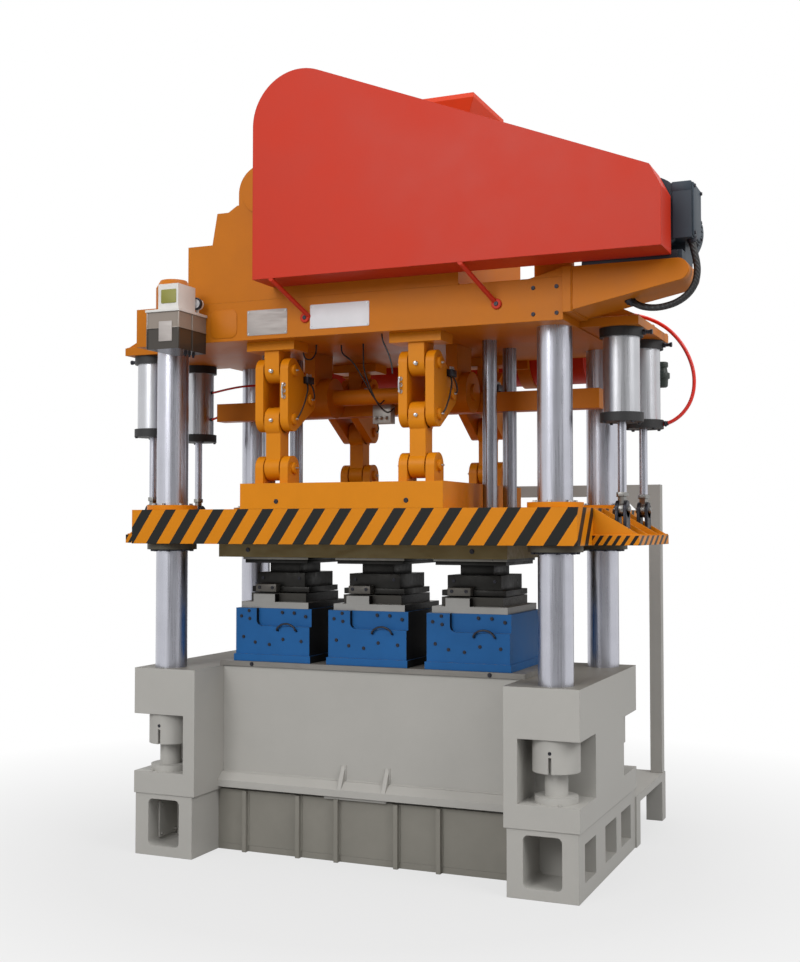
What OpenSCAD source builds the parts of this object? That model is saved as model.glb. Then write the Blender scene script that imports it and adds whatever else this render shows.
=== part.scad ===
// Four-column toggle press for roofing tiles: a cast bed with corner feet, a crown with its belt
// drive, and a striped slide that three mould sets close under.
// Millimetres. X runs to the right, Y to the back and Z up, from the floor between the columns.

/* [Bed] */
// Half width of the bed over its end blocks
bed_half_w = 1153; // [1100:1:1250]
// Half depth of the end blocks
bed_half_d = 550; // [530:1:640]
// Width of each end block
end_w = 352; // [330:1:380]
// How far the middle of the bed stands behind the end blocks
bed_recess = 280; // [240:1:286]
// Top of the feet
foot_h = 305; // [260:1:340]
// Top of the bed
bed_top = 930; // [860:1:1000]
// Width of the notch that holds a column nut
notch_w = 286; // [260:1:300]
// Depth of the notch that holds a column nut
notch_d = 274; // [250:1:290]
// Floor of the notch
notch_bottom = 414; // [380:1:440]
// Roof of the notch
notch_top = 701; // [660:1:740]
// Thickness of the bolster plate
bolster_t = 25; // [15:1:40]

/* [Columns] */
// Distance of a column from the end of the bed
column_in = 140; // [130:1:150]
// Distance of a column from the front or the back of the bed
column_set = 117; // [112:1:130]
// Diameter of the columns
column_d = 160; // [120:1:180]
// Outside diameter of the column nuts
nut_d = 215; // [190:1:240]

/* [Crown] */
// Underside of the crown
crown_z = 2542; // [2500:1:2700]
// Height of the crown girder
crown_h = 190; // [160:1:240]
// How far the crown reaches past a column, across the press
crown_over = 93; // [84:1:110]
// How far the crown reaches past a column, front to back
crown_lip = 192; // [180:1:220]

/* [Drive] */
// Distance of the belt wheel from the middle, across the press
wheel_x = 90; // [60:1:120]
// Height of the belt wheel and gear shafts above the crown
shaft_h = 528; // [500:1:560]
// Diameter of the belt wheel
wheel_d = 740; // [600:1:760]
// Diameter of the motor pulley
pulley_d = 170; // [120:1:180]
// Distance of the motor from the end of the crown
motor_out = 364; // [350:1:390]
// Shaft height of the motor above its bracket
motor_shaft_h = 197; // [185:1:215]
// Diameter of the motor frame
motor_d = 350; // [300:1:380]
// Depth of the belt guard
guard_d = 205; // [180:1:240]

/* [Toggles] */
// Distance of a toggle set from the middle, across the press
toggle_x = 380; // [340:1:420]
// Distance of the toggle pins from the front or back of the crown
toggle_in = 145; // [125:1:165]
// Distance between the pins of one link
link_l = 239; // [220:1:250]
// Drop of the top pins below the crown
top_pin_drop = 138; // [125:1:160]
// Diameter of the toggle pins
pin_d = 56; // [40:1:64]
// Diameter of the link bosses
boss_d = 120; // [112:1:130]
// Thickness of one cheek plate
cheek_t = 44; // [30:1:50]
// Width of the web between two cheek plates
web_w = 80; // [60:1:90]

/* [Slide] */
// How far the slide reaches past a column, across the press
slide_over = 142; // [130:1:150]
// How far the slide reaches past a column, front to back
slide_lip = 150; // [140:1:170]
// Height of the striped slide plate
slide_h = 170; // [140:1:190]
// Half width of the box on the slide
box_half_w = 529; // [500:1:550]
// Height of the box on the slide
box_h = 124; // [100:1:130]
// Thickness of the backing plate under the slide
backing_t = 67; // [40:1:80]

/* [Moulds] */
// Width of one mould
mould_w = 438; // [400:1:450]
// Distance between two moulds
mould_pitch = 528; // [500:1:540]
// Half depth of one mould
mould_half_d = 262; // [240:1:280]
// Height of the lower mould box
mould_h = 270; // [240:1:280]

/* [Balance cylinders] */
// Distance of a balance cylinder from the end of the slide
balance_out = 115; // [110:1:135]
// Distance of a balance cylinder from the end of its bracket
balance_in = 114; // [108:1:140]
// Outside diameter of the barrel
barrel_d = 168; // [140:1:180]
// Length of the barrel
barrel_l = 346; // [300:1:360]
// Diameter of the rod
rod_d = 40; // [30:1:60]

/* [Rear stand] */
// Depth of the platform behind the bed
platform_d = 740; // [600:1:900]
// Height of the platform
platform_z = 260; // [220:1:290]
// Height of the posts over the floor
post_top = 1880; // [1700:1:2000]
// Side of the square posts
post_w = 65; // [50:1:80]

/* [Hidden] */
$fn = 64;
// Overrun of every cut past the face it opens
cut = 2;
// Radial clearance of a pin in its bore
pin_gap = 0.05;
// Radial clearance of a column or rod in its guide
guide_gap = 0.3;
// Gap between a web and the cheek plate beside it
cheek_gap = 6;

// Colours of the paints and metals
grey_paint = "#a5a39e";
orange_paint = "#d98a0c";
shade_paint = "#c07a1e";
red_paint = "#c84b37";
blue_paint = "#2d64a0";
chrome_tone = "#c9cbd0";
steel_tone = "#8f8d88";
dark_tone = "#33342f";
olive_tone = "#6d6746";
slate_tone = "#3a434a";
white_tone = "#d8d6d0";
hose_tone = "#e02a20";

// Bed: thicknesses and places
foot_in = 22;
foot_w = end_w - foot_in;
foot_step = 8;
foot_half_w = bed_half_w - foot_step;
foot_half_d = bed_half_d - foot_step/2;
floor_t = 30;
bed_front = bed_half_d - bed_recess;
wall_recess = 22;
wall_t = 36;
lower_wall_y = bed_front + wall_recess;
pocket_w = 178;
pocket_h = 232;
pocket_z = 48;
pocket_depth = 250;
pocket_r = 24;
bay_h = 170;
bay_depth = 90;
bay_z = 70;
bay_shares = [[-0.82, -0.46], [-0.14, 0.26], [0.44, 0.82]];
rib_t = 22;
rib_d = 26;
rib_shares = [-0.8, -0.43, -0.17, 0.22, 0.49];
ledge_lift = 15;
ledge_z = foot_h + ledge_lift;
ledge_h = 70;
ledge_d = 56;
ledge_face_share = 0.5;
ledge_top_share = 0.3;
gusset_x = 118;
gusset_h = 115;
gusset_t = 22;
under_w = 332;
under_d = 18;
under_x = -40;
bolster_over = 17;
bolster_lip = 10;

// Columns: places, nuts and ends
column_x = bed_half_w - column_in;
column_y = bed_half_d - column_set;
nut_h = 150;
nut_slot = 14;
stub_d = 105;
disc_d = 195;
disc_h = 30;
top_nut_d = 180;
top_nut_h = 132;
dome_h = 40;
dome_d = 136;
column_top = crown_z + crown_h + top_nut_h/2;

// Crown: the gear housing stands in tiers, and its top follows the two shafts
crown_top = crown_z + crown_h;
crown_half_w = column_x + crown_over;
crown_half_d = column_y + crown_lip;
crown_roof_t = 46;
housing_left_in = 209;
tier1_left = housing_left_in - column_x;
housing_right_in = 393;
tier1_right = column_x - housing_right_in;
tier1_h = 290;
tier2_left_in = 138;
tier2_left = tier1_left + tier2_left_in;
tier2_right_in = 120;
tier2_right = tier1_right - tier2_right_in;
tier2_slant = 27;
tier2_h = 153;
tier3_in = 63;
tier3_h = 30;
housing_back = 300;
tier2_back = 260;
gear_in = 283;
gear_x = tier2_left + gear_in;
cap_r = 135;
boss_r = 110;
boss_out = 14;
cap_depth = 300;
shaft_z = crown_top + shaft_h;
shaft_d = 110;

// Motor and its bracket
motor_x = crown_half_w + motor_out;
bracket_past = 132;
bracket_l = motor_out + bracket_past;
bracket_depth = 270;
bracket_t = 24;
bracket_root_up = 32;
bracket_root = crown_h - bracket_root_up;
bracket_rise = 23;
root_t = 38;
root_proud = 8;
sheet_l = 155;
sheet_t = 12;
bracket_tip = 96;
flange_t = 18;
bracket_top = crown_top + bracket_rise + flange_t;
rail_h = 40;
rail_w = 60;
motor_z = bracket_top + motor_shaft_h;
motor_set = 40;
motor_front = motor_set - crown_half_d;
motor_l = 370;
motor_cap_d = 330;
motor_cap_l = 60;
motor_foot_w = 300;
motor_shaft_d = 55;
terminal_w = 81;
terminal_out = 195;
terminal_set = 5;
terminal_d = 190;
terminal_h = 200;
terminal_lift = -13;
fin_count = 9;
fin_h = 16;
fin_t = 10;
fin_from = 58;
fin_span = 54;

// Belt guard: a round left end, a straight slope and a chamfered right end
guard_side = 45;
guard_left = wheel_x - wheel_d/2 - guard_side;
guard_past = 108;
guard_right = motor_x + guard_past;
guard_lift = 56;
guard_bottom = crown_top + guard_lift;
guard_r = 245;
guard_cx = guard_left + guard_r;
guard_rise = 245;
guard_cz = shaft_z + guard_rise;
guard_end_past = 60;
guard_end_x = motor_x + guard_end_past;
guard_end_rise = 158;
guard_end_z = motor_z + guard_end_rise;
guard_end_drop = 93;
guard_t = 5;
guard_fn = 128;
guard_back = -crown_half_d;
guard_front = guard_back - guard_d;
wheel_w = 130;
wheel_rim_t = 45;
wheel_web_t = 40;
wheel_hub_d = 220;
wheel_hole_d = 130;
wheel_hole_count = 6;
wheel_out = 100;
wheel_y = guard_back - wheel_out;
belt_t = 14;
belt_w = 96;
belt_steps = 60;
strut_d = 22;
strut_shares = [0.05, 0.54];
strut_lean = 95;
strut_drop = 150;

// Red hood on its neck
hood_in = 176;
hood_x = tier2_right - hood_in;
hood_half = 230;
hood_neck_half = 110;
hood_h = 1013;
hood_top = crown_top + hood_h;
hood_flare_h = 225;
hood_t = 6;
hood_lip = 22;

// Toggle sets, worked out from the pins
toggle_y = crown_half_d - toggle_in;
top_pin_z = crown_z - top_pin_drop;
knuckle_z = top_pin_z - link_l;
low_pin_z = knuckle_z - link_l;
web_half = web_w/2;
cheek_in = web_half + cheek_gap;
cheek_out = cheek_in + cheek_t;
lug_flange_w = 260;
lug_flange_t = 45;
lug_flange_d = 150;
arm_drop = 130;
arm_r = 64;
arm_pin_d = 44;
arm_clear = 47;
pin_end = 8;
knuckle_play = 27;
knuckle_side = 10;
eye_d = pin_d + 2*knuckle_side;
eye_wall = 22;
eye_boss_d = eye_d + 2*eye_wall;
low_waist_d = 84;

// Crank shaft and its hangers behind the toggle sets
crank_y = -5;
crank_drop = 232;
crank_z = crown_z - crank_drop;
crank_r = 95;
crank_d = 84;
hanger_t = 60;
hanger_x = 392;
hanger_top_d = 210;
crank_end = 90;
hub_r = 104;
hub_w = 176;

// Inner guide rods and the cross beam clamped to the rear pair
guide_out = 78;
guide_x = box_half_w + guide_out;
guide_y = 154;
guide_d = 70;
guide_low = 56;
beam_past = 67;
beam_half_w = column_x + beam_past;
beam_d = 90;
arm_out = toggle_y - guide_y - beam_d/2 - arm_r - arm_clear;
beam_drop = 320;
beam_z = crown_z - beam_drop;
beam_h = 98;

// Slide
slide_half_w = column_x + slide_over;
slide_half_d = column_y + slide_lip;
lug_rise = 16;
slide_top = low_pin_z - box_h - boss_d/2 - lug_rise;
slide_z = slide_top - slide_h;
box_top = slide_top + box_h;
collar_d = 255;
collar_h = 24;
collar_low_h = 30;
collar_low_d = 250;
backing_in = 245;
backing_half_w = column_x - backing_in;
backing_set = 203;
backing_half_d = slide_half_d - backing_set;
side_plate_past = 100;
side_plate_w = balance_out + side_plate_past;
side_plate_t = 44;
side_gusset_t = 20;
side_gusset_out = 15;
side_gusset_in = 51;
clevis_w = 100;
clevis_top = 50;
rod_in_share = 0.5;

// Balance cylinders, clear of the motor's bracket, and the side brackets under their rods
bracket_clear = 15;
bracket_plate_half_d = crown_half_d - bracket_depth - bracket_clear;
balance_y = bracket_plate_half_d - balance_in;
side_past = 104;
side_half_d = balance_y + side_past;
gusset_from = clevis_w/2 + side_gusset_t/2;
side_gusset_ys = [balance_y + gusset_from + side_gusset_out, balance_y - gusset_from - side_gusset_in];
cap_d = 200;
cap_h = 42;
barrel_bore_d = 150;
balance_x = slide_half_w + balance_out;
cap_drop = 35;
barrel_top = crown_z - cap_drop;
rod_top = barrel_top - rod_in_share*barrel_l;
bracket_plate_t = 40;
bracket_plate_past = 104;
bracket_plate_w = balance_x + bracket_plate_past - crown_half_w;
bracket_gusset_h = 130;
bracket_gusset_t = 22;
bracket_gusset_shares = [-0.95, 0, 0.95];

// Air tank behind the crown
tank_r = 150;
tank_half_l = 850;
tank_out = 180;
tank_y = crown_half_d + tank_out;
tank_lift = 31;
tank_z = crown_z + tank_lift;
tank_dome = 60;
strap_x = 520;
strap_w = 70;
strap_t = 14;

// Lubricator in front of the crown
lube_in = 231;
lube_left = lube_in - crown_half_w;
lube_w = 175;
lube_d = 245;
lube_drop = 56;
lube_z = crown_z - lube_drop;
lube_h = 178;
lube_plate_t = 12;
lube_plate_over = 8;
lube_box_w = 112;
lube_box_d = 150;
lube_box_h = 122;
lube_box_in = 55;
gauge_r = 26;
gauge_t = 30;
gauge_neck_d = 14;
gauge_neck_h = 36;

// Mould sets
mould_base_h = 36;
mould_base_over = 8;
mould_block_w = 120;
mould_block_d = 24;
mould_shelf_share = 0.62;
mould_fillet_r = 30;
mould_plate_h = 32;
mould_plate_share = 0.88;
insert_h = 44;
insert_share = 0.72;
guide_block_in = 70;
guide_block_w = 124;
guide_block_h = 40;
guide_block_d = 60;
die_gap = 12;
die_shares = [[0.86, 0.86, 0.15], [0.48, 0.48, 0.28], [0.76, 0.76, 0.34], [0.84, 0.84, 0.23]];

// Rear stand
platform_t = 40;
platform_leg_w = 90;
post_in = 38;
stand_beam_h = 65;
stand_gusset = 150;

// Routes of the motor conduit, the air hose and the two thin air lines
conduit_d = 30;
conduit_route = [for (p = [
    [180, 65, 150], [184, 64, 120], [190, 63, 90], [197, 62, 60], [203, 62, 30], [206, 62, 0], [204, 62, -30],
    [197, 63, -58], [183, 65, -84], [162, 68, -107], [135, 73, -125], [104, 79, -138], [72, 86, -145],
    [40, 94, -148], [10, 101, -147], [-20, 108, -142], [-48, 114, -133], [-74, 119, -119], [-96, 123, -102],
    [-106, 125, -92]])
    [motor_x, -crown_half_d, crown_top] + p];
hose_d = 18;
hose_top_route = [for (p = [
    [-186, -26, 183], [-120, -26, 183], [-70, -26, 179], [-20, -26, 169], [30, -24, 153],
    [80, -22, 129], [128, -18, 95], [170, -14, 51], [204, -10, 1], [230, -6, -55]])
    [balance_x, balance_y, barrel_top] + p];
hose_low_route = [for (p = [
    [246, -4, 233], [250, -2, 175], [242, 0, 119], [222, 0, 69], [190, 0, 27], [154, 0, -1],
    [122, 0, -16], [100, 0, -21]])
    [balance_x, balance_y, barrel_top - barrel_l] + p];
hose_route = concat(hose_top_route, hose_low_route);
line_d = 12;
tank_line_near = [for (p = [
    [78, 0, -109], [105, 0, -106], [135, 4, -100], [165, 12, -93], [195, 24, -86], [225, 40, -79],
    [255, 60, -73], [285, 84, -68], [315, 112, -64]])
    [-balance_x, balance_y, barrel_top] + p];
tank_line_far = [for (p = [
    [-75, -435, -127], [-45, -399, -124], [-15, -359, -122], [15, -315, -120], [45, -267, -117],
    [75, -217, -114], [105, -165, -110], [135, -113, -105], [144, -97, -103]])
    [-tank_half_l, tank_y, tank_z] + p];
beam_line_near = [for (p = [
    [78, -4, 85], [86, -5, 86], [94, -7, 87], [102, -9, 88], [110, -12, 89], [118, -15, 91], [126, -19, 92],
    [134, -23, 94]])
    [-balance_x, balance_y, barrel_top - barrel_l] + p];
beam_line_far = [for (p = [
    [-48, 44, 35], [-40, 40, 36], [-32, 36, 38], [-24, 33, 39], [-16, 30, 40], [-8, 28, 41], [2, 26, 42],
    [8, 25, 42]])
    [-beam_half_w, guide_y, beam_z] + p];
hose_sides = 10;
tube_side = [0, 1, 0.2];

// Copies of a shape at the four corners
module corners(x, y) {
    for (sx = [-1, 1], sy = [-1, 1]) translate([sx*x, sy*y, 0]) children();
}

// Copies of a shape at the left and the right
module sides(x) {
    for (sx = [-1, 1]) translate([sx*x, 0, 0]) children();
}

// A box that is centred across X and Y and stands on a height
module block(w, d, z, h) {
    translate([-w/2, -d/2, z]) cube([w, d, h]);
}

// A round bar along X, centred
module x_bar(d, l) {
    rotate([0, 90, 0]) cylinder(d = d, h = l, center = true);
}

// A round bar along Y from one depth to another
module y_bar(r, y0, y1) {
    translate([0, y1, 0]) rotate([90, 0, 0]) cylinder(r = r, h = y1 - y0);
}

// A front-view outline in X and Z, drawn out along Y
module front_profile(y0, y1) {
    translate([0, y1, 0]) rotate([90, 0, 0]) linear_extrude(y1 - y0) children();
}

// A side-view outline in Y and Z, drawn out along X and centred
module side_profile(w) {
    rotate([90, 0, 90]) linear_extrude(w, center = true) children();
}

module base_plate() {
    color(grey_paint) block(2*(foot_half_w - foot_w), 2*lower_wall_y, 0, floor_t);
}

// A rounded pocket drawn in the front view
module pocket_outline() {
    translate([-pocket_w/2 + pocket_r, pocket_z + pocket_r])
        square([pocket_w - 2*pocket_r, pocket_h - 2*pocket_r]);
    for (sx = [-1, 1]) translate([sx*(pocket_w/2 - pocket_r), pocket_z + pocket_r]) {
        circle(pocket_r);
        translate([0, pocket_h - 2*pocket_r]) circle(pocket_r);
    }
    translate([-pocket_w/2, pocket_z + pocket_r]) square([pocket_w, pocket_h - 2*pocket_r]);
    translate([-pocket_w/2 + pocket_r, pocket_z]) square([pocket_w - 2*pocket_r, pocket_h]);
}

module base_end() {
    difference() {
        block(foot_w, 2*foot_half_d, 0, foot_h);
        front_profile(-foot_half_d - cut, -foot_half_d + pocket_depth) pocket_outline();
        for (b = bay_shares) translate([foot_w/2 - bay_depth, b[0]*foot_half_d, bay_z])
            cube([bay_depth + cut, (b[1] - b[0])*foot_half_d, bay_h]);
    }
}

module base_ends() {
    color(grey_paint) for (sx = [0, 1]) mirror([sx, 0, 0])
        translate([foot_half_w - foot_w/2, 0, 0]) base_end();
}

module lower_wall() {
    half_l = foot_half_w - foot_w;
    translate([-half_l, -lower_wall_y, floor_t]) cube([2*half_l, wall_t, foot_h - floor_t]);
    for (r = rib_shares) translate([r*half_l - rib_t/2, -lower_wall_y - rib_d, 0])
        cube([rib_t, rib_d, foot_h]);
}

module lower_walls() {
    color(grey_paint) for (sy = [0, 1]) mirror([0, sy, 0]) lower_wall();
}

module bed_end() {
    difference() {
        block(end_w, 2*bed_half_d, foot_h, bed_top - foot_h);
        for (sy = [-1, 1]) translate([end_w/2 - notch_w, sy > 0 ? bed_half_d - notch_d : -bed_half_d - cut,
            notch_bottom]) cube([notch_w + cut, notch_d + cut, notch_top - notch_bottom]);
        translate([column_x - bed_half_w + end_w/2, 0, 0]) for (sy = [-1, 1]) translate([0, sy*column_y,
            notch_top - cut]) cylinder(d = column_d, h = bed_top - notch_top + 2*cut);
    }
}

module bed_ends() {
    color(grey_paint) for (sx = [0, 1]) mirror([sx, 0, 0]) translate([bed_half_w - end_w/2, 0, 0]) bed_end();
}

// The bolting ledge along the bed's foot, with its two gussets
module bed_ledge() {
    half_l = bed_half_w - end_w;
    translate([0, -bed_front, ledge_z]) side_profile(2*half_l)
        polygon([[cut, 0], [-ledge_d, 0], [-ledge_d, ledge_face_share*ledge_h],
            [-ledge_top_share*ledge_d, ledge_h], [cut, ledge_h]]);
    for (sx = [-1, 1]) translate([sx*gusset_x, -bed_front, ledge_z + ledge_face_share*ledge_h])
        side_profile(gusset_t) polygon([[cut, 0], [-ledge_d, 0], [cut, gusset_h]]);
    translate([under_x - under_w/2, -bed_front - wall_recess - under_d, foot_h])
        cube([under_w, under_d + wall_recess, ledge_z - foot_h]);
}

module bed_body() {
    color(grey_paint) {
        block(2*(bed_half_w - end_w), 2*bed_front, foot_h, bed_top - foot_h);
        for (sy = [0, 1]) mirror([0, sy, 0]) bed_ledge();
    }
}

module bolster_plate() {
    color(olive_tone)
        block(2*(bed_half_w - end_w + bolster_over), 2*(bed_front + bolster_lip), bed_top, bolster_t);
}

module columns() {
    color(chrome_tone) corners(column_x, column_y) {
        translate([0, 0, notch_top - nut_h]) cylinder(d = column_d, h = column_top - notch_top + nut_h);
        translate([0, 0, notch_bottom]) cylinder(d = stub_d, h = notch_top - notch_bottom);
        translate([0, 0, notch_bottom]) cylinder(d = disc_d, h = disc_h);
    }
}

module lower_nuts() {
    color(grey_paint) corners(column_x, column_y) difference() {
        translate([0, 0, notch_top - nut_h]) cylinder(d = nut_d, h = nut_h);
        translate([0, 0, notch_top - nut_h - cut]) cylinder(d = column_d, h = nut_h + 2*cut);
        translate([-nut_slot/2, -nut_d/2 - cut, notch_top - nut_h - cut])
            cube([nut_slot, nut_d + 2*cut, nut_h/2]);
    }
}

module upper_nuts() {
    color(shade_paint) corners(column_x, column_y) difference() {
        union() {
            translate([0, 0, crown_top]) cylinder(d = top_nut_d, h = top_nut_h);
            translate([0, 0, crown_top + top_nut_h]) cylinder(d1 = top_nut_d, d2 = dome_d, h = dome_h);
        }
        translate([0, 0, crown_top - cut]) cylinder(d = column_d, h = column_top - crown_top + cut);
    }
}

module crown_beam() {
    color(shade_paint) difference() {
        block(2*crown_half_w, 2*crown_half_d, crown_z, crown_h);
        corners(column_x, column_y) translate([0, 0, crown_z - cut]) cylinder(d = column_d, h = crown_h + 2*cut);
        corners(guide_x, guide_y) translate([0, 0, crown_z - cut])
            cylinder(d = guide_d, h = crown_h - crown_roof_t + cut);
    }
}

// Front view of the stepped gear housing under its two bearing caps
module housing_tier(left, right, slant, z0, h) {
    polygon([[left, z0], [right, z0], [right - slant, z0 + h], [left + slant, z0 + h]]);
}

module gearbox_housing() {
    tier2_z = crown_top + tier1_h;
    tier3_z = tier2_z + tier2_h;
    color(shade_paint) {
        front_profile(-crown_half_d, housing_back)
            housing_tier(tier1_left, tier1_right, 0, crown_top, tier1_h);
        front_profile(-crown_half_d, tier2_back)
            housing_tier(tier2_left, tier2_right, tier2_slant, tier2_z, tier2_h);
        front_profile(-crown_half_d, -crown_half_d + cap_depth)
            housing_tier(tier2_left + tier2_slant + tier3_in, tier2_right - tier2_slant - tier3_in,
                tier3_in - boss_out, tier3_z, tier3_h);
        for (x = [gear_x, wheel_x]) translate([x, 0, shaft_z]) {
            y_bar(cap_r, -crown_half_d, -crown_half_d + cap_depth);
            translate([-cap_r, -crown_half_d, tier3_z - shaft_z]) cube([2*cap_r, cap_depth, shaft_z - tier3_z]);
        }
        translate([gear_x, 0, shaft_z]) y_bar(boss_r, -crown_half_d - boss_out, -crown_half_d);
    }
}

module motor_bracket() {
    color(shade_paint) {
        translate([crown_half_w, -crown_half_d, bracket_top - flange_t]) cube([bracket_l, bracket_depth, flange_t]);
        for (y = [-crown_half_d, -crown_half_d + bracket_depth - bracket_t])
            front_profile(y, y + bracket_t) bracket_outline();
        front_profile(-crown_half_d + bracket_t, -crown_half_d + bracket_depth - bracket_t) difference() {
            bracket_outline();
            translate([0, bracket_t]) bracket_outline();
        }
        translate([crown_half_w, -crown_half_d - root_proud, crown_top - bracket_root])
            cube([root_t, bracket_depth + root_proud, bracket_top - crown_top + bracket_root]);
        front_profile(-crown_half_d, -crown_half_d + sheet_t)
            polygon([[crown_half_w - sheet_l, crown_top], [crown_half_w + cut, crown_top],
                [crown_half_w + cut, bracket_top]]);
        translate([crown_half_w + bracket_l, -crown_half_d, bracket_top - bracket_tip/2])
            intersection() {
                rotate([-90, 0, 0]) cylinder(d = bracket_tip, h = bracket_depth);
                translate([0, 0, -bracket_tip]) cube([bracket_tip, bracket_depth, 2*bracket_tip]);
            }
    }
}

// Front view of the tapered cantilever under the motor
module bracket_outline() {
    polygon([[crown_half_w, bracket_top - flange_t + cut], [crown_half_w + bracket_l, bracket_top - flange_t + cut],
        [crown_half_w + bracket_l, bracket_top - bracket_tip], [crown_half_w, crown_top - bracket_root]]);
}

module motor() {
    color(slate_tone) {
        translate([motor_x, 0, motor_z]) {
            y_bar(motor_d/2 - fin_h, motor_front, motor_front + motor_l);
            y_bar(motor_cap_d/2, motor_front - motor_cap_l/2, motor_front);
            y_bar(motor_cap_d/2, motor_front + motor_l, motor_front + motor_l + motor_cap_l);
            y_bar(motor_shaft_d/2, wheel_y - belt_w/2, motor_front);
            for (i = [0 : fin_count - 1], s = [-1, 1]) rotate([0, s*(fin_from + i*fin_span/(fin_count - 1)), 0])
                translate([-fin_t/2, motor_front + terminal_d + fin_t, motor_d/2 - 2*fin_h])
                    cube([fin_t, motor_l - terminal_d - 2*fin_t, 2*fin_h]);
            translate([terminal_out - terminal_w, terminal_set - crown_half_d, terminal_lift - terminal_h/2])
                cube([terminal_w, terminal_d, terminal_h]);
        }
        for (sx = [-1, 1]) translate([motor_x + sx*(motor_foot_w/2 - rail_w/2), 0, 0]) {
            translate([-rail_w/2, -crown_half_d + bracket_t, bracket_top])
                cube([rail_w, bracket_depth - bracket_t, rail_h]);
            translate([-rail_w/2, motor_front + motor_cap_l, bracket_top + rail_h])
                cube([rail_w, motor_l - 2*motor_cap_l, motor_shaft_h - rail_h - motor_d/4]);
        }
    }
}

// Front view of the guard, drawn in by a wall's thickness: its slope touches the round left end
module guard_outline(inset) {
    r = guard_r - inset;
    fall = [guard_end_x - guard_cx, guard_end_z - inset - guard_cz];
    lean = atan2(fall[1], fall[0]) + acos(r/norm(fall));
    translate([guard_cx, guard_cz]) circle(r, $fn = guard_fn);
    polygon([[guard_left + inset, guard_bottom + inset], [guard_right - inset, guard_bottom + inset],
        [guard_right - inset, guard_end_z - guard_end_drop - inset/2],
        [guard_end_x - inset/2, guard_end_z - inset], [guard_cx, guard_cz] + r*[cos(lean), sin(lean)],
        [guard_cx, guard_cz], [guard_left + inset, guard_cz]]);
}

module belt_guard() {
    color(red_paint) difference() {
        front_profile(guard_front, guard_back) guard_outline(0);
        front_profile(guard_front + guard_t, guard_back + cut) guard_outline(guard_t);
        translate([gear_x, 0, shaft_z])
            y_bar(boss_r + cheek_gap, guard_back - boss_out - cheek_gap, guard_back + cut);
    }
}

module belt_wheel() {
    web_r = wheel_d/2 - wheel_rim_t;
    color(steel_tone) translate([wheel_x, wheel_y, shaft_z]) rotate([90, 0, 0]) {
        difference() {
            cylinder(d = wheel_d, h = wheel_w, center = true);
            for (s = [-1, 1]) translate([0, 0, s*(wheel_w + wheel_web_t)/2]) difference() {
                cylinder(r = web_r, h = wheel_w, center = true);
                cylinder(d = wheel_hub_d, h = wheel_w + 2*cut, center = true);
            }
            for (i = [0 : wheel_hole_count - 1]) rotate(i*360/wheel_hole_count)
                translate([(web_r + wheel_hub_d/2)/2, 0, 0])
                    cylinder(d = wheel_hole_d, h = wheel_web_t + 2*cut, center = true);
        }
    }
    color(steel_tone) translate([wheel_x, 0, shaft_z]) y_bar(shaft_d/2, wheel_y + wheel_w/2, -crown_half_d);
}

module motor_pulley() {
    color(steel_tone) translate([motor_x, wheel_y, motor_z]) rotate([90, 0, 0]) difference() {
        cylinder(d = pulley_d, h = wheel_w, center = true);
        translate([0, 0, -wheel_w]) cylinder(d = motor_shaft_d, h = 2*wheel_w);
    }
}

// Front view of an open belt round the wheel and the pulley, grown by a thickness
module belt_outline(grow) {
    span = [motor_x - wheel_x, motor_z - shaft_z];
    r0 = wheel_d/2 + grow;
    r1 = pulley_d/2 + grow;
    lean = atan2(span[1], span[0]);
    open = acos((r0 - r1)/norm(span));
    polygon(concat(
        [for (i = [0 : belt_steps]) let (a = lean + open + i*(360 - 2*open)/belt_steps)
            [wheel_x, shaft_z] + r0*[cos(a), sin(a)]],
        [for (i = [0 : belt_steps]) let (a = lean - open + i*2*open/belt_steps)
            [motor_x, motor_z] + r1*[cos(a), sin(a)]]));
}

module drive_belt() {
    color(dark_tone) front_profile(wheel_y - belt_w/2, wheel_y + belt_w/2) difference() {
        belt_outline(belt_t);
        belt_outline(guide_gap);
    }
}

module guard_struts() {
    color(red_paint) for (share = strut_shares) {
        x = guard_left + share*(guard_right - guard_left);
        reach = [strut_lean, guard_d, -strut_drop];
        l = norm(reach);
        intersection() {
            translate([x, guard_front, guard_bottom] - reach)
                rotate([0, acos(reach[2]/l), atan2(reach[1], reach[0])]) cylinder(d = strut_d, h = 3*l);
            translate([x - strut_drop, guard_front, guard_bottom - 2*strut_drop])
                cube([4*strut_drop, guard_d, 2*strut_drop]);
        }
    }
}

module red_hood() {
    neck_z = crown_top + tier1_h + tier2_h;
    color(red_paint) translate([hood_x, 0, 0]) difference() {
        hood_form(0, neck_z, hood_top);
        hood_form(hood_t, neck_z + hood_t, hood_top + cut);
    }
}

// The square neck, the flare and the upright lip of the hood, drawn in by a wall's thickness
module hood_form(inset, z0, z1) {
    neck = 2*(hood_neck_half - inset);
    lip = 2*(hood_half - inset);
    flare_z = hood_top - hood_lip - hood_flare_h;
    block(neck, neck, z0, flare_z - z0);
    translate([0, 0, flare_z]) linear_extrude(hood_flare_h, scale = lip/neck) square(neck, center = true);
    block(lip, lip, hood_top - hood_lip, z1 - hood_top + hood_lip);
}

// One bracket under the crown with its flange, web and pin
module crown_lug() {
    block(lug_flange_w, lug_flange_d, crown_z - lug_flange_t, lug_flange_t);
    block(web_w, boss_d, top_pin_z, crown_z - top_pin_z);
    translate([0, 0, top_pin_z]) {
        x_bar(boss_d, web_w);
        x_bar(pin_d, 2*(cheek_out + pin_end));
    }
}

module crown_lugs() {
    color(orange_paint) corners(toggle_x, toggle_y) crown_lug();
}

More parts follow.
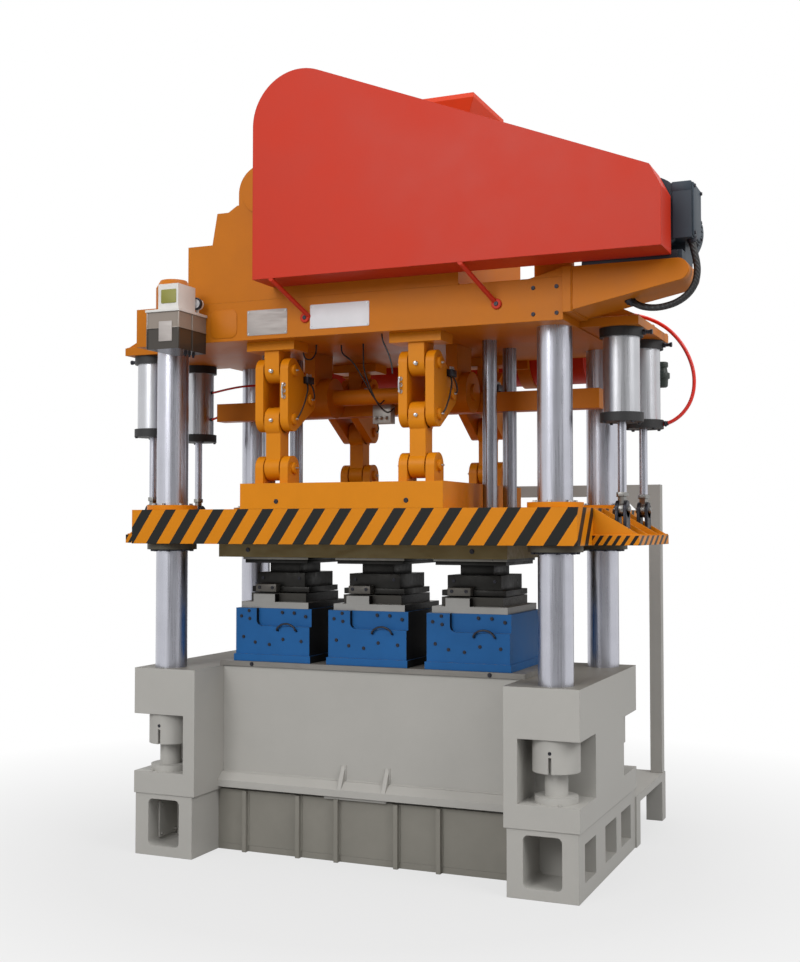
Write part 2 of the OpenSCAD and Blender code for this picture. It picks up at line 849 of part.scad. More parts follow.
// Two three-cornered cheek plates on a top pin: they hold the knuckle pin, and a pin on their inward arm
module upper_link(inward) {
    arm = [inward*arm_out, -arm_drop];
    difference() {
        union() {
            for (sx = [-1, 1]) translate([sx*(cheek_in + cheek_t/2), 0, top_pin_z])
                side_profile(cheek_t) hull() {
                    circle(d = boss_d);
                    translate([0, -link_l]) circle(d = boss_d);
                    translate(arm) circle(arm_r);
                }
            translate([0, 0, knuckle_z]) x_bar(pin_d, 2*(cheek_out + pin_end));
            translate([0, arm[0], top_pin_z + arm[1]]) x_bar(arm_pin_d, 2*(cheek_out + pin_end));
        }
        translate([0, 0, top_pin_z]) x_bar(pin_d + 2*pin_gap, 2*cheek_out + 2*cut);
    }
}

// The single lower link, with a long eye at the knuckle
module lower_link() {
    difference() {
        translate([0, 0, knuckle_z]) side_profile(web_w) difference() {
            union() {
                circle(d = eye_boss_d);
                translate([0, -knuckle_play]) circle(d = eye_boss_d);
                translate([-eye_boss_d/2, -knuckle_play]) square([eye_boss_d, knuckle_play]);
                translate([-low_waist_d/2, -link_l]) square([low_waist_d, link_l - knuckle_play]);
                translate([0, -link_l]) circle(d = boss_d);
            }
            circle(d = eye_d);
            translate([0, -knuckle_play]) circle(d = eye_d);
            translate([-eye_d/2, -knuckle_play]) square([eye_d, knuckle_play]);
        }
        translate([0, 0, low_pin_z]) x_bar(pin_d + 2*pin_gap, web_w + 2*cut);
    }
}

module link_pair(y) {
    color(orange_paint) sides(toggle_x) translate([0, y, 0]) children();
}

module front_upper_links() {
    link_pair(-toggle_y) upper_link(1);
}

module rear_upper_links() {
    link_pair(toggle_y) upper_link(-1);
}

module front_lower_links() {
    link_pair(-toggle_y) lower_link();
}

module rear_lower_links() {
    link_pair(toggle_y) lower_link();
}

module crank_hangers() {
    color(shade_paint) {
        sides(hanger_x) translate([0, crank_y, crank_z]) side_profile(hanger_t) {
            circle(crank_r);
            polygon([[-hanger_top_d/2, crown_z - crank_z], [-crank_r, 0], [crank_r, 0],
                [hanger_top_d/2, crown_z - crank_z]]);
        }
        sides(toggle_x) translate([0, crank_y, crank_z]) x_bar(2*hub_r, hub_w);
        translate([0, crank_y, crank_z]) x_bar(crank_d, 2*(hanger_x + crank_end));
    }
}

module guide_rods() {
    color(chrome_tone) corners(guide_x, guide_y) translate([0, 0, slide_top - guide_low])
        cylinder(d = guide_d, h = crown_top - crown_roof_t - slide_top + guide_low);
}

module cross_beam() {
    color(shade_paint) difference() {
        translate([0, guide_y, 0]) block(2*beam_half_w, beam_d, beam_z, beam_h);
        sides(guide_x) translate([0, guide_y, beam_z - cut]) cylinder(d = guide_d, h = beam_h + 2*cut);
    }
}

module cylinder_bracket() {
    z = barrel_top + cap_h;
    translate([crown_half_w, -bracket_plate_half_d, z])
        cube([bracket_plate_w, 2*bracket_plate_half_d, bracket_plate_t]);
    for (s = bracket_gusset_shares) translate([crown_half_w, s*(bracket_plate_half_d - bracket_gusset_t/2),
        z + bracket_plate_t]) rotate([90, 0, 0]) linear_extrude(bracket_gusset_t, center = true)
            polygon([[0, 0], [bracket_plate_w, 0], [0, bracket_gusset_h]]);
}

module cylinder_brackets() {
    color(shade_paint) for (sx = [0, 1]) mirror([sx, 0, 0]) cylinder_bracket();
}

// One balance cylinder: a top cap, the barrel and a lower cap that the rod runs through
module balance_cylinder() {
    barrel_z = barrel_top - barrel_l;
    translate([0, 0, barrel_top]) cylinder(d = cap_d, h = cap_h);
    difference() {
        union() {
            translate([0, 0, barrel_z]) cylinder(d = barrel_d, h = barrel_l);
            translate([0, 0, barrel_z - cap_h]) cylinder(d = cap_d, h = cap_h);
        }
        translate([0, 0, barrel_z]) cylinder(d = barrel_bore_d, h = barrel_l - cap_h/2);
        translate([0, 0, barrel_z - cap_h - cut]) cylinder(d = rod_d + 2*guide_gap, h = cap_h + 2*cut);
    }
}

module balance_cylinders() {
    color(chrome_tone) corners(balance_x, balance_y) balance_cylinder();
}

module air_tank() {
    color(red_paint) translate([0, tank_y, tank_z]) {
        x_bar(2*tank_r, 2*tank_half_l);
        for (s = [-1, 1]) translate([s*tank_half_l, 0, 0]) rotate([0, s*90, 0])
            cylinder(r1 = tank_r, r2 = tank_r - tank_dome, h = tank_dome);
    }
}

module tank_brackets() {
    color(shade_paint) sides(strap_x) difference() {
        union() {
            translate([0, tank_y, tank_z]) x_bar(2*(tank_r + strap_t), strap_w);
            translate([-strap_w/2, crown_half_d, tank_z - tank_r/2]) cube([strap_w, tank_y - crown_half_d, tank_r]);
        }
        translate([0, tank_y, tank_z]) x_bar(2*tank_r, strap_w + 2*cut);
    }
}

module lubricator_tank() {
    color(dark_tone) translate([lube_left, -crown_half_d - lube_d, lube_z]) cube([lube_w, lube_d, lube_h]);
}

module lubricator_box() {
    plate_z = lube_z + lube_h;
    color(white_tone) {
        translate([lube_left - lube_plate_over, -crown_half_d - lube_d - lube_plate_over, plate_z])
            cube([lube_w + 2*lube_plate_over, lube_d + lube_plate_over, lube_plate_t]);
        translate([lube_left + lube_box_in, -crown_half_d - lube_d + lube_plate_over, plate_z + lube_plate_t])
            cube([lube_box_w, lube_box_d, lube_box_h]);
        translate([lube_left + lube_w - gauge_neck_d, -crown_half_d - gauge_r - gauge_t, plate_z + lube_plate_t]) {
            cylinder(d = gauge_neck_d, h = gauge_neck_h);
            translate([0, 0, gauge_neck_h + gauge_r/2]) y_bar(gauge_r, -gauge_t/2, gauge_t/2);
        }
    }
}

// The raised front of a mould: a shelf, and a tall block on the left with a round inner corner
module mould_relief(w, h) {
    shelf_h = mould_shelf_share*h;
    square([w, shelf_h]);
    square([mould_block_w, h]);
    difference() {
        translate([mould_block_w - cut, shelf_h - cut]) square(mould_fillet_r + cut);
        translate([mould_block_w + mould_fillet_r, shelf_h + mould_fillet_r]) circle(mould_fillet_r);
    }
}

// One lower mould box with its base lip, and a raised front and back
module lower_mould() {
    z = bed_top + bolster_t;
    half_d = mould_half_d - mould_base_over;
    w = mould_w - 2*mould_base_over;
    h = mould_h - mould_base_h + cut;
    block(mould_w, 2*mould_half_d, z, mould_base_h);
    block(w, 2*(half_d - mould_block_d), z + mould_base_h - cut, h);
    for (sy = [0, 1]) mirror([0, sy, 0]) translate([-w/2, 0, z + mould_base_h - cut])
        front_profile(-half_d, -half_d + mould_block_d + cut) mould_relief(w, h);
}

module mould_row() {
    for (i = [-1 : 1]) translate([i*mould_pitch, 0, 0]) children();
}

module lower_moulds() {
    color(blue_paint) mould_row() lower_mould();
}

module mould_plates() {
    z = bed_top + bolster_t + mould_h;
    color(steel_tone) mould_row() {
        block(mould_plate_share*mould_w, 2*mould_plate_share*mould_half_d, z, mould_plate_h);
        block(insert_share*mould_w, 2*insert_share*mould_half_d, z + mould_plate_h, insert_h);
        for (sy = [-1, 1]) translate([-mould_w*mould_plate_share/2 + guide_block_in + guide_block_w/2,
            sy*(mould_plate_share*mould_half_d - guide_block_d/2), z + mould_plate_h])
                block(guide_block_w, guide_block_d, 0, guide_block_h);
    }
}

// Height of a die's first steps, as a share of the whole
function die_drop(i) = i == 0 ? 0 : die_drop(i - 1) + die_shares[i - 1][2];

// Each die hangs from a wide plate on a narrow neck and steps out towards the mould
module upper_dies() {
    die_top = slide_z - backing_t;
    h = die_top - (bed_top + bolster_t + mould_h + mould_plate_h + insert_h + die_gap);
    last = len(die_shares) - 1;
    color(dark_tone) mould_row() for (i = [0 : last]) {
        s = die_shares[i];
        top = die_top - h*die_drop(i) + (i > 0 ? cut : 0);
        bottom = die_top - h*die_drop(i + 1) - (i < last ? cut : 0);
        block(s[0]*mould_w, 2*s[1]*mould_half_d, bottom, top - bottom);
    }
}

module rear_platform() {
    color(grey_paint) {
        translate([-bed_half_w, foot_half_d, platform_z - platform_t])
            cube([2*bed_half_w, platform_d, platform_t]);
        for (sx = [-1, 1], y = [foot_half_d, foot_half_d + platform_d - platform_leg_w])
            translate([sx*(bed_half_w - platform_leg_w/2) - platform_leg_w/2, y, 0])
                cube([platform_leg_w, platform_leg_w, platform_z - platform_t]);
    }
}

module rear_stand() {
    post_y = foot_half_d + platform_d - post_w;
    post_x = bed_half_w - post_in;
    color(grey_paint) {
        for (sx = [-1, 1]) translate([sx*post_x - post_w/2, post_y, platform_z])
            cube([post_w, post_w, post_top - platform_z]);
        translate([-post_x, post_y, post_top - stand_beam_h]) cube([2*post_x, post_w, stand_beam_h]);
        for (sx = [0, 1]) mirror([sx, 0, 0]) translate([-post_x + post_w/2, post_y + post_w, post_top - stand_beam_h])
            rotate([90, 0, 0]) linear_extrude(post_w)
                polygon([[0, 0], [stand_gusset, 0], [0, -stand_gusset]]);
    }
}

// Rings of points along a route, for a round tube
function ring(route, i, d) =
    let (t = route[min(i + 1, len(route) - 1)] - route[max(i - 1, 0)],
        side = cross(t, tube_side), u = side/norm(side), w = cross(t, u)/norm(t))
    [for (k = [0 : hose_sides - 1]) route[i] + d/2*(cos(k*360/hose_sides)*u + sin(k*360/hose_sides)*w)];

// A closed tube swept along a route
module tube(route, d) {
    n = len(route);
    m = hose_sides;
    polyhedron(
        points = [for (i = [0 : n - 1]) each ring(route, i, d)],
        faces = concat(
            [[for (k = [0 : m - 1]) k]],
            [for (i = [0 : n - 2], k = [0 : m - 1])
                [i*m + k, (i + 1)*m + k, (i + 1)*m + (k + 1)%m, i*m + (k + 1)%m]],
            [[for (k = [m - 1 : -1 : 0]) (n - 1)*m + k]]));
}

module motor_conduit() {
    color(dark_tone) tube(conduit_route, conduit_d);
}

module air_hose() {
    color(hose_tone) {
        tube(hose_route, hose_d);
        tube(concat(tank_line_near, tank_line_far), line_d);
        tube(concat(beam_line_near, beam_line_far), line_d);
    }
}

module slide_beam() {
    color(orange_paint) difference() {
        block(2*slide_half_w, 2*slide_half_d, slide_z, slide_h);
        corners(column_x, column_y) translate([0, 0, slide_z - cut])
            cylinder(d = column_d + 2*guide_gap, h = slide_h + 2*cut);
        corners(guide_x, guide_y) translate([0, 0, slide_z - cut])
            cylinder(d = guide_d + 2*guide_gap, h = slide_h + 2*cut);
    }
}

// The box on the slide with the forked lugs that hold the lower pins
module slide_box() {
    color(orange_paint) {
        block(2*box_half_w, 2*slide_half_d, slide_top, box_h);
        corners(toggle_x, toggle_y) {
            for (sx = [-1, 1]) translate([sx*(cheek_in + cheek_t/2), 0, low_pin_z]) side_profile(cheek_t) {
                circle(d = boss_d);
                translate([-boss_d/2, box_top - low_pin_z]) square([boss_d, low_pin_z - box_top]);
            }
            translate([0, 0, low_pin_z]) x_bar(pin_d, 2*(cheek_out + pin_end));
        }
    }
}

module guide_collars() {
    color(orange_paint) corners(column_x, column_y) {
        translate([0, 0, slide_top]) collar(collar_d, collar_h);
        translate([0, 0, slide_z - collar_low_h]) collar(collar_low_d, collar_low_h);
    }
}

module collar(d, h) {
    difference() {
        cylinder(d = d, h = h);
        translate([0, 0, -cut]) cylinder(d = column_d + 2*guide_gap, h = h + 2*cut);
    }
}

module slide_bracket() {
    translate([slide_half_w, -side_half_d, slide_z]) cube([side_plate_w, 2*side_half_d, side_plate_t]);
    for (s = [-1, 1], y = side_gusset_ys) translate([slide_half_w, s*y, slide_z + side_plate_t])
        rotate([90, 0, 0]) linear_extrude(side_gusset_t, center = true)
            polygon([[0, 0], [side_plate_w, 0], [0, slide_h - side_plate_t]]);
}

module slide_brackets() {
    color(orange_paint) for (sx = [0, 1]) mirror([sx, 0, 0]) slide_bracket();
}

module balance_rods() {
    color(chrome_tone) corners(balance_x, balance_y) {
        block(clevis_w, clevis_w, slide_z + side_plate_t, slide_h - side_plate_t + clevis_top);
        translate([0, 0, slide_top + clevis_top]) cylinder(d = rod_d, h = rod_top - slide_top - clevis_top);
    }
}

module backing_plate() {
    color(olive_tone) block(2*backing_half_w, 2*backing_half_d, slide_z - backing_t, backing_t);
}

base_plate();
base_ends();
lower_walls();
bed_ends();
bed_body();
bolster_plate();
columns();
lower_nuts();
upper_nuts();
crown_beam();
gearbox_housing();
motor_bracket();
motor();
belt_guard();
belt_wheel();
motor_pulley();
drive_belt();
guard_struts();
red_hood();
crown_lugs();
crank_hangers();
guide_rods();
cross_beam();
cylinder_brackets();
balance_cylinders();
air_tank();
tank_brackets();
lubricator_tank();
lubricator_box();
lower_moulds();
mould_plates();
rear_platform();
rear_stand();
motor_conduit();
air_hose();
slide_beam();
slide_box();
guide_collars();
slide_brackets();
balance_rods();
backing_plate();
upper_dies();
front_upper_links();
front_lower_links();
rear_upper_links();
rear_lower_links();
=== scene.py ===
"""Finishes, fittings and stage of a four-column toggle press for roofing tiles."""

import math

import bmesh
import bpy
from mathutils import Matrix, Vector


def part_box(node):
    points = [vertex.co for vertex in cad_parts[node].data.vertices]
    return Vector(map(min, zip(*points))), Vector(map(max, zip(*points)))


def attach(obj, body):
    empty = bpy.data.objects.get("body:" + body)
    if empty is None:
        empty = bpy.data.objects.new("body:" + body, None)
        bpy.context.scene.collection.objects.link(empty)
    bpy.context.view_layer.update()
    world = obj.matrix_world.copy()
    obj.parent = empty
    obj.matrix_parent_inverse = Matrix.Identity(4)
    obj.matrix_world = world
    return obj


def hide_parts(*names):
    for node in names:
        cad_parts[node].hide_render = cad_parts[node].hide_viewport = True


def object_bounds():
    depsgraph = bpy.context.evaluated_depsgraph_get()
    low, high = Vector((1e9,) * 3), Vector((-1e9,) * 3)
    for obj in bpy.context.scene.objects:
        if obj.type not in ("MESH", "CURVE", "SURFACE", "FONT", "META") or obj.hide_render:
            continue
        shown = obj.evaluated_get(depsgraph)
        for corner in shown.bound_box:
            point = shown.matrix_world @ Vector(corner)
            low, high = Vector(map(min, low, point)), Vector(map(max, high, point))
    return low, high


bl_info = {
    "name": "Roofing Tile Press",
    "version": (1, 0, 0),
    "blender": (4, 5, 0),
    "location": "View3D > Sidebar > Tile Press",
    "description": "Finishes, fittings and stage for a four-column roofing tile press",
    "category": "Object",
}

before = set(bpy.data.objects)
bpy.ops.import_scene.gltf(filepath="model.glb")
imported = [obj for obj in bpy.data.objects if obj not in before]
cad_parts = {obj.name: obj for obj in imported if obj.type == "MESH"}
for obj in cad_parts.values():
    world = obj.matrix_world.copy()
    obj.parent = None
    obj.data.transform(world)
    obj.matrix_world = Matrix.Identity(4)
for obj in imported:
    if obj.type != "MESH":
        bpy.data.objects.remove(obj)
CAD_BOX = [list(corner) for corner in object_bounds()]
MM = 0.001
SIDES = (-1, 1)
FRONT = Vector((0.0, -1.0, 0.0))
BACK = Vector((0.0, 1.0, 0.0))
RIGHT = Vector((1.0, 0.0, 0.0))
UP = Vector((0.0, 0.0, 1.0))
DOWN = Vector((0.0, 0.0, -1.0))
# Middles of the columns, balance cylinders, mould sets and toggle sets, as in the solids
COLUMNS = [Vector((x, y, 0.0)) for x in (-1.013, 1.013) for y in (-0.433, 0.433)]
CYLINDERS = [(x, y) for x in (-1.270, 1.270) for y in (-0.226, 0.226)]
MOULDS = (-0.528, 0.0, 0.528)
TOGGLES = (-0.38, 0.38)
# Sizes of the finishes' patterns: clouds, orange peel and chips in paint, film on metal, clouds and pebbles
# in plastic, and the conduit's rings
PAINT_CLOUD = 0.32
PAINT_PEEL = 0.007
PAINT_CHIP = 0.022
METAL_FILM = 0.12
PLASTIC_CLOUD = 0.09
PLASTIC_PEBBLE = 4.8 * MM
CONDUIT_RING = 9 * MM
# Specular level of dusty paint, under the usual 0.5
PAINT_SPECULAR = 0.17
# Radius that the edges of bare metal and of plastic are rounded to
METAL_EDGE = 1.5 * MM
PLASTIC_EDGE = 2 * MM
# Stretch of the lines in metal: along a rod, along a plate, or even
ROD_LINES = (1.0, 1.0, 0.02)
PLATE_LINES = (0.1, 1.0, 1.0)
EVEN_GRAIN = (1.0, 1.0, 1.0)
# Heights where a column's painted foot ends and where the reservoir's band lies, and a cylinder cap's length
COLUMN_PAINT = 0.701
RESERVOIR_BAND = 2.586
CYLINDER_CAP = 0.042
# Reach along X within which the sides of the mould boxes, and of their plates, are painted near-black as
# shade between two moulds
BOXES_PAINTED_SHADE = (-0.7, 0.7)
PLATES_PAINTED_SHADE = (-0.7, 0.6)
# Stripes on the slide's brackets: pitch along the front and the side, and how far up they go
BRACKET_STRIPES = (0.040, 0.110, 0.044)
# Weld beads: distance between two points, length of a ripple and its height
WELD_STEP = 12 * MM
WELD_RIPPLE = 14 * MM
WELD_SWELL = 1.8 * MM
# Angles in degrees over which an edge is bevelled, shows sharp, or is a corner to weld
BEVEL_ANGLE = 35
SHARP_ANGLE = 38
WELD_ANGLE = 50
# Share of a unit normal on a face that looks straight along an axis, and on one that may lean
STRAIGHT = (0.9, 1.1)
LEANING = (0.7, 1.1)


def linear(code):
    """Turn an sRGB hex colour into linear red, green and blue."""
    shares = [int(code[i:i + 2], 16) / 255 for i in (1, 3, 5)]
    return tuple(s / 12.92 if s <= 0.04045 else ((s + 0.055) / 1.055) ** 2.4 for s in shares)


def length(name, description, default):
    """A size in metres that a user can change."""
    return bpy.props.FloatProperty(name=name, description=description, default=default, min=0.0,
                                   unit="LENGTH")


def colour(name, description, code):
    """A paint or metal colour that a user can change."""
    return bpy.props.FloatVectorProperty(
        name=name, description=description, default=linear(code), min=0.0, max=1.0, size=3, subtype="COLOR")


def share(name, description, default):
    """A part of one that a user can change."""
    return bpy.props.FloatProperty(name=name, description=description, default=default, min=0.0, max=1.0,
                                   subtype="FACTOR")


class PressSizes(bpy.types.PropertyGroup):
    """Sizes of the fittings and patterns on the press."""
    stripe_pitch: length("Stripe pitch", "Distance from one black stripe to the next", 0.138)
    stripe_start: length("Stripe start", "How far left of the middle the first stripe's top corner lies",
                         1.094)
    stripe_lean: share("Stripe lean", "Sideways run of a stripe for each length that it rises", 0.675)
    stripe_share: share("Black share", "Share of the pitch that is black", 0.45)
    paint_edge: length("Paint edge", "Radius that the paint rounds each edge to", 0.004)
    hex_head: length("Hexagon head", "Radius of a hexagon head at its corners", 0.0138)
    hex_height: length("Hexagon height", "Height of a hexagon head", 0.010)
    socket_head: length("Socket head", "Radius of a socket head", 0.012)
    socket_height: length("Socket height", "Height of a socket head above its face", 0.006)
    washer: length("Washer radius", "Radius of the washer under a head", 0.018)
    plate: length("Sign plate", "Thickness of a sign plate", 0.002)
    lube_pipe: length("Lubricator pipe", "Radius of a lubrication pipe", 0.004)
    bead: length("Weld bead", "Radius of a weld bead", 0.006)
    conduit: length("Conduit", "Diameter of the motor conduit", 0.030)
    hose: length("Air hose", "Diameter of the air hose", 0.018)
    air_line: length("Air line", "Diameter of a thin air line", 0.012)


class PressColours(bpy.types.PropertyGroup):
    """Colours of the paints, metals and plastics."""
    grey: colour("Bed grey", "Enamel of the bed, feet and rear stand", "#B0AEA9")
    orange: colour("Slide orange", "Enamel of the slide and the toggles", "#D2800C")
    # The crown's orange is darker than the slide's partly as painted shade from the guard above it
    crown: colour("Crown orange with painted shade", "Enamel of the crown and its housing", "#BC6C0E")
    red: colour("Guard red", "Enamel of the belt guard, hood and air tank", "#BC301A")
    blue: colour("Mould blue", "Enamel of the mould boxes", "#215C96")
    slate: colour("Motor slate", "Enamel of the motor", "#363F48")
    stripe: colour("Stripe black", "Warning stripes on the slide", "#1C1C1A")
    chrome: colour("Chrome", "Hard chrome on the columns and rods", "#BCBDC6")
    steel: colour("Machined steel", "Ground and turned steel", "#8E8D8A")
    tool_steel: colour("Tool steel", "Black oiled steel of the dies", "#22211F")
    olive: colour("Plate olive", "Oiled brown steel of the tool plates", "#675A32")
    aluminium: colour("Aluminium", "Anodised barrels of the air cylinders", "#BFC0C4")
    rubber: colour("Black rubber", "Belt, seals and conduit", "#1C1C1D")
    hose: colour("Hose red", "Air hose", "#E02A1C")
    white: colour("Box white", "Plastic boxes and bare sign plates", "#D2D0CC")


def sizes():
    """The press's sizes."""
    return bpy.context.scene.press_sizes


def colours():
    """The press's colours."""
    return bpy.context.scene.press_colours


def add_node(tree, kind, inputs=None, **settings):
    """Add a node with its settings, and set or link its inputs by name or number."""
    node = tree.nodes.new(kind)
    for name, value in settings.items():
        setattr(node, name, value)
    for key, value in (inputs or {}).items():
        if isinstance(value, bpy.types.NodeSocket):
            tree.links.new(value, node.inputs[key])
        else:
            node.inputs[key].default_value = value
    return node


def shade(tone, amount):
    """A lighter or darker tone of a colour, with full alpha."""
    return (*(min(1.0, c * amount) for c in tone), 1.0)


def bare_tree(owner):
    """The emptied node tree of a material or a world."""
    owner.use_nodes = True
    owner.node_tree.nodes.clear()
    return owner.node_tree


def placed(name, data):
    """A new object in the scene, at the origin."""
    thing = bpy.data.objects.new(name, data)
    bpy.context.scene.collection.objects.link(thing)
    return thing


def surface(name):
    """Start a material: its node tree, its shader and its Object coordinates."""
    tree = bare_tree(bpy.data.materials.new(name))
    shader = add_node(tree, "ShaderNodeBsdfPrincipled")
    add_node(tree, "ShaderNodeOutputMaterial", {"Surface": shader.outputs["BSDF"]})
    place = add_node(tree, "ShaderNodeTexCoord").outputs["Object"]
    return tree, shader, place


def enamel(name, tone, rough, mottle=0.06, worn="#5B5750", wear=0.35):
    """Brushed and sprayed machine enamel: soft edges, faint orange peel, cloudy tone and rubbed corners."""
    tree, shader, place = surface(name)
    cloud = add_node(tree, "ShaderNodeTexNoise", {
        "Vector": place, "Scale": 1 / PAINT_CLOUD, "Detail": 6.0, "Roughness": 0.62})
    peel = add_node(tree, "ShaderNodeTexNoise", {"Vector": place, "Scale": 1 / PAINT_PEEL, "Detail": 2.0})
    chips = add_node(tree, "ShaderNodeTexNoise", {"Vector": place, "Scale": 1 / PAINT_CHIP, "Detail": 4.0})
    paint = add_node(tree, "ShaderNodeMix", {
        0: cloud.outputs["Fac"], 6: shade(tone, 1 - 2 * mottle), 7: shade(tone, 1 + 2 * mottle)},
        data_type="RGBA")
    soft = add_node(tree, "ShaderNodeBevel", {"Radius": sizes().paint_edge}, samples=4)
    flat = add_node(tree, "ShaderNodeNewGeometry").outputs["Normal"]
    turn = add_node(tree, "ShaderNodeVectorMath", {0: soft.outputs["Normal"], 1: flat},
                    operation="DOT_PRODUCT")
    edge = add_node(tree, "ShaderNodeMapRange", {
        "Value": turn.outputs["Value"], "From Min": 0.99, "From Max": 0.86, "To Min": 0.0, "To Max": 1.0})
    patch = add_node(tree, "ShaderNodeMapRange", {
        "Value": chips.outputs["Fac"], "From Min": 0.5, "From Max": 0.66, "To Min": 0.0, "To Max": wear})
    rub = add_node(tree, "ShaderNodeMath", {
        0: edge.outputs["Result"], 1: patch.outputs["Result"]}, operation="MULTIPLY")
    finish = add_node(tree, "ShaderNodeMix", {
        0: rub.outputs["Value"], 6: paint.outputs[2], 7: (*linear(worn), 1.0)}, data_type="RGBA")
    gloss = add_node(tree, "ShaderNodeMapRange", {
        "Value": cloud.outputs["Fac"], "From Min": 0.3, "From Max": 0.7, "To Min": rough - 0.06,
        "To Max": rough + 0.06})
    bump = add_node(tree, "ShaderNodeBump", {
        "Strength": 0.12, "Distance": 0.6 * MM, "Height": peel.outputs["Fac"],
        "Normal": soft.outputs["Normal"]})
    shader.inputs["Specular IOR Level"].default_value = PAINT_SPECULAR
    tree.links.new(finish.outputs[2], shader.inputs["Base Color"])
    tree.links.new(gloss.outputs["Result"], shader.inputs["Roughness"])
    tree.links.new(bump.outputs["Normal"], shader.inputs["Normal"])
    return tree, shader, place, finish.outputs[2]


def striped_enamel(name, tone, black, top, pitch, side_pitch, highest):
    """Slide enamel with black stripes up to a height on its upright faces, leaning right as they rise."""
    tree, shader, place, paint = enamel(name, tone, 0.42)
    s = sizes()
    along = add_node(tree, "ShaderNodeVectorMath", {
        0: place, 1: (1 / pitch, 1 / side_pitch, -s.stripe_lean / pitch)}, operation="DOT_PRODUCT")
    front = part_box("slide_beam")[0].y
    start = (s.stripe_start - front + s.stripe_lean * top) / pitch
    count = add_node(tree, "ShaderNodeMath", {0: along.outputs["Value"], 1: start}, operation="ADD")
    part = add_node(tree, "ShaderNodeMath", {0: count.outputs["Value"]}, operation="FRACT")
    band = add_node(tree, "ShaderNodeMath", {0: part.outputs["Value"], 1: s.stripe_share},
                    operation="LESS_THAN")
    face = add_node(tree, "ShaderNodeNewGeometry").outputs["True Normal"]
    up = add_node(tree, "ShaderNodeSeparateXYZ", {0: face})
    steep = add_node(tree, "ShaderNodeMath", {0: up.outputs["Z"]}, operation="ABSOLUTE")
    wall = add_node(tree, "ShaderNodeMath", {0: steep.outputs["Value"], 1: 0.5}, operation="LESS_THAN")
    upright = add_node(tree, "ShaderNodeMath", {0: band.outputs["Value"], 1: wall.outputs["Value"]},
                       operation="MULTIPLY")
    height = add_node(tree, "ShaderNodeSeparateXYZ", {0: place}).outputs["Z"]
    under = add_node(tree, "ShaderNodeMath", {0: height, 1: highest}, operation="LESS_THAN")
    mask = add_node(tree, "ShaderNodeMath", {0: upright.outputs["Value"], 1: under.outputs["Value"]},
                    operation="MULTIPLY")
    stripes = add_node(tree, "ShaderNodeMix", {
        0: mask.outputs["Value"], 6: paint, 7: (*black, 1.0)}, data_type="RGBA")
    tree.links.new(stripes.outputs[2], shader.inputs["Base Color"])


def turned_metal(name, tone, rough, grain, stretch, metallic=1.0):
    """Turned or ground metal: fine lines that run one way, drawn coarser than real so that they show."""
    tree, shader, place = surface(name)
    laid = add_node(tree, "ShaderNodeMapping", {"Vector": place, "Scale": stretch})
    lines = add_node(tree, "ShaderNodeTexNoise", {
        "Vector": laid.outputs["Vector"], "Scale": 1 / grain, "Detail": 3.0})
    film = add_node(tree, "ShaderNodeTexNoise", {"Vector": place, "Scale": 1 / METAL_FILM, "Detail": 4.0})
    tint = add_node(tree, "ShaderNodeMix", {
        0: film.outputs["Fac"], 6: shade(tone, 0.86), 7: shade(tone, 1.08)}, data_type="RGBA")
    gloss = add_node(tree, "ShaderNodeMapRange", {
        "Value": lines.outputs["Fac"], "From Min": 0.3, "From Max": 0.7, "To Min": rough * 0.75,
        "To Max": rough * 1.3})
    edge = add_node(tree, "ShaderNodeBevel", {"Radius": METAL_EDGE}, samples=4)
    bump = add_node(tree, "ShaderNodeBump", {
        "Strength": 0.08, "Distance": 0.3 * MM, "Height": lines.outputs["Fac"],
        "Normal": edge.outputs["Normal"]})
    shader.inputs["Metallic"].default_value = metallic
    tree.links.new(tint.outputs[2], shader.inputs["Base Color"])
    tree.links.new(gloss.outputs["Result"], shader.inputs["Roughness"])
    tree.links.new(bump.outputs["Normal"], shader.inputs["Normal"])
    return tree, shader, place, tint.outputs[2]


def painted_ends(tree, shader, place, metal, paint, low, high):
    """Paint a turned piece wherever it lies under or over its bright length."""
    height = add_node(tree, "ShaderNodeSeparateXYZ", {0: place})
    over = add_node(tree, "ShaderNodeMath", {0: height.outputs["Z"], 1: low}, operation="GREATER_THAN")
    under = add_node(tree, "ShaderNodeMath", {0: height.outputs["Z"], 1: high}, operation="LESS_THAN")
    bright = add_node(tree, "ShaderNodeMath", {0: over.outputs[0], 1: under.outputs[0]}, operation="MULTIPLY")
    tone = add_node(tree, "ShaderNodeMix", {0: bright.outputs[0], 6: (*paint, 1.0), 7: metal},
                    data_type="RGBA")
    gloss = shader.inputs["Roughness"].links[0].from_socket
    matt = add_node(tree, "ShaderNodeMix", {0: bright.outputs[0], 2: 0.6, 3: gloss})
    tree.links.new(tone.outputs[2], shader.inputs["Base Color"])
    tree.links.new(bright.outputs[0], shader.inputs["Metallic"])
    tree.links.new(matt.outputs[0], shader.inputs["Roughness"])


def masked(tree, shader, base, tone, limits):
    """Lay a second tone where every (vector, axis, low, high) in limits holds."""
    mask = None
    for vector, axis, low, high in limits:
        value = add_node(tree, "ShaderNodeSeparateXYZ", {0: vector}).outputs[axis]
        inside = add_node(tree, "ShaderNodeMath", {0: value, 1: (low + high) / 2, 2: (high - low) / 2},
                          operation="COMPARE")
        mask = inside.outputs[0] if mask is None else add_node(
            tree, "ShaderNodeMath", {0: mask, 1: inside.outputs[0]}, operation="MULTIPLY").outputs[0]
    mixed = add_node(tree, "ShaderNodeMix", {0: mask, 6: base, 7: (*tone, 1.0)}, data_type="RGBA")
    tree.links.new(mixed.outputs[2], shader.inputs["Base Color"])
    return mixed.outputs[2]


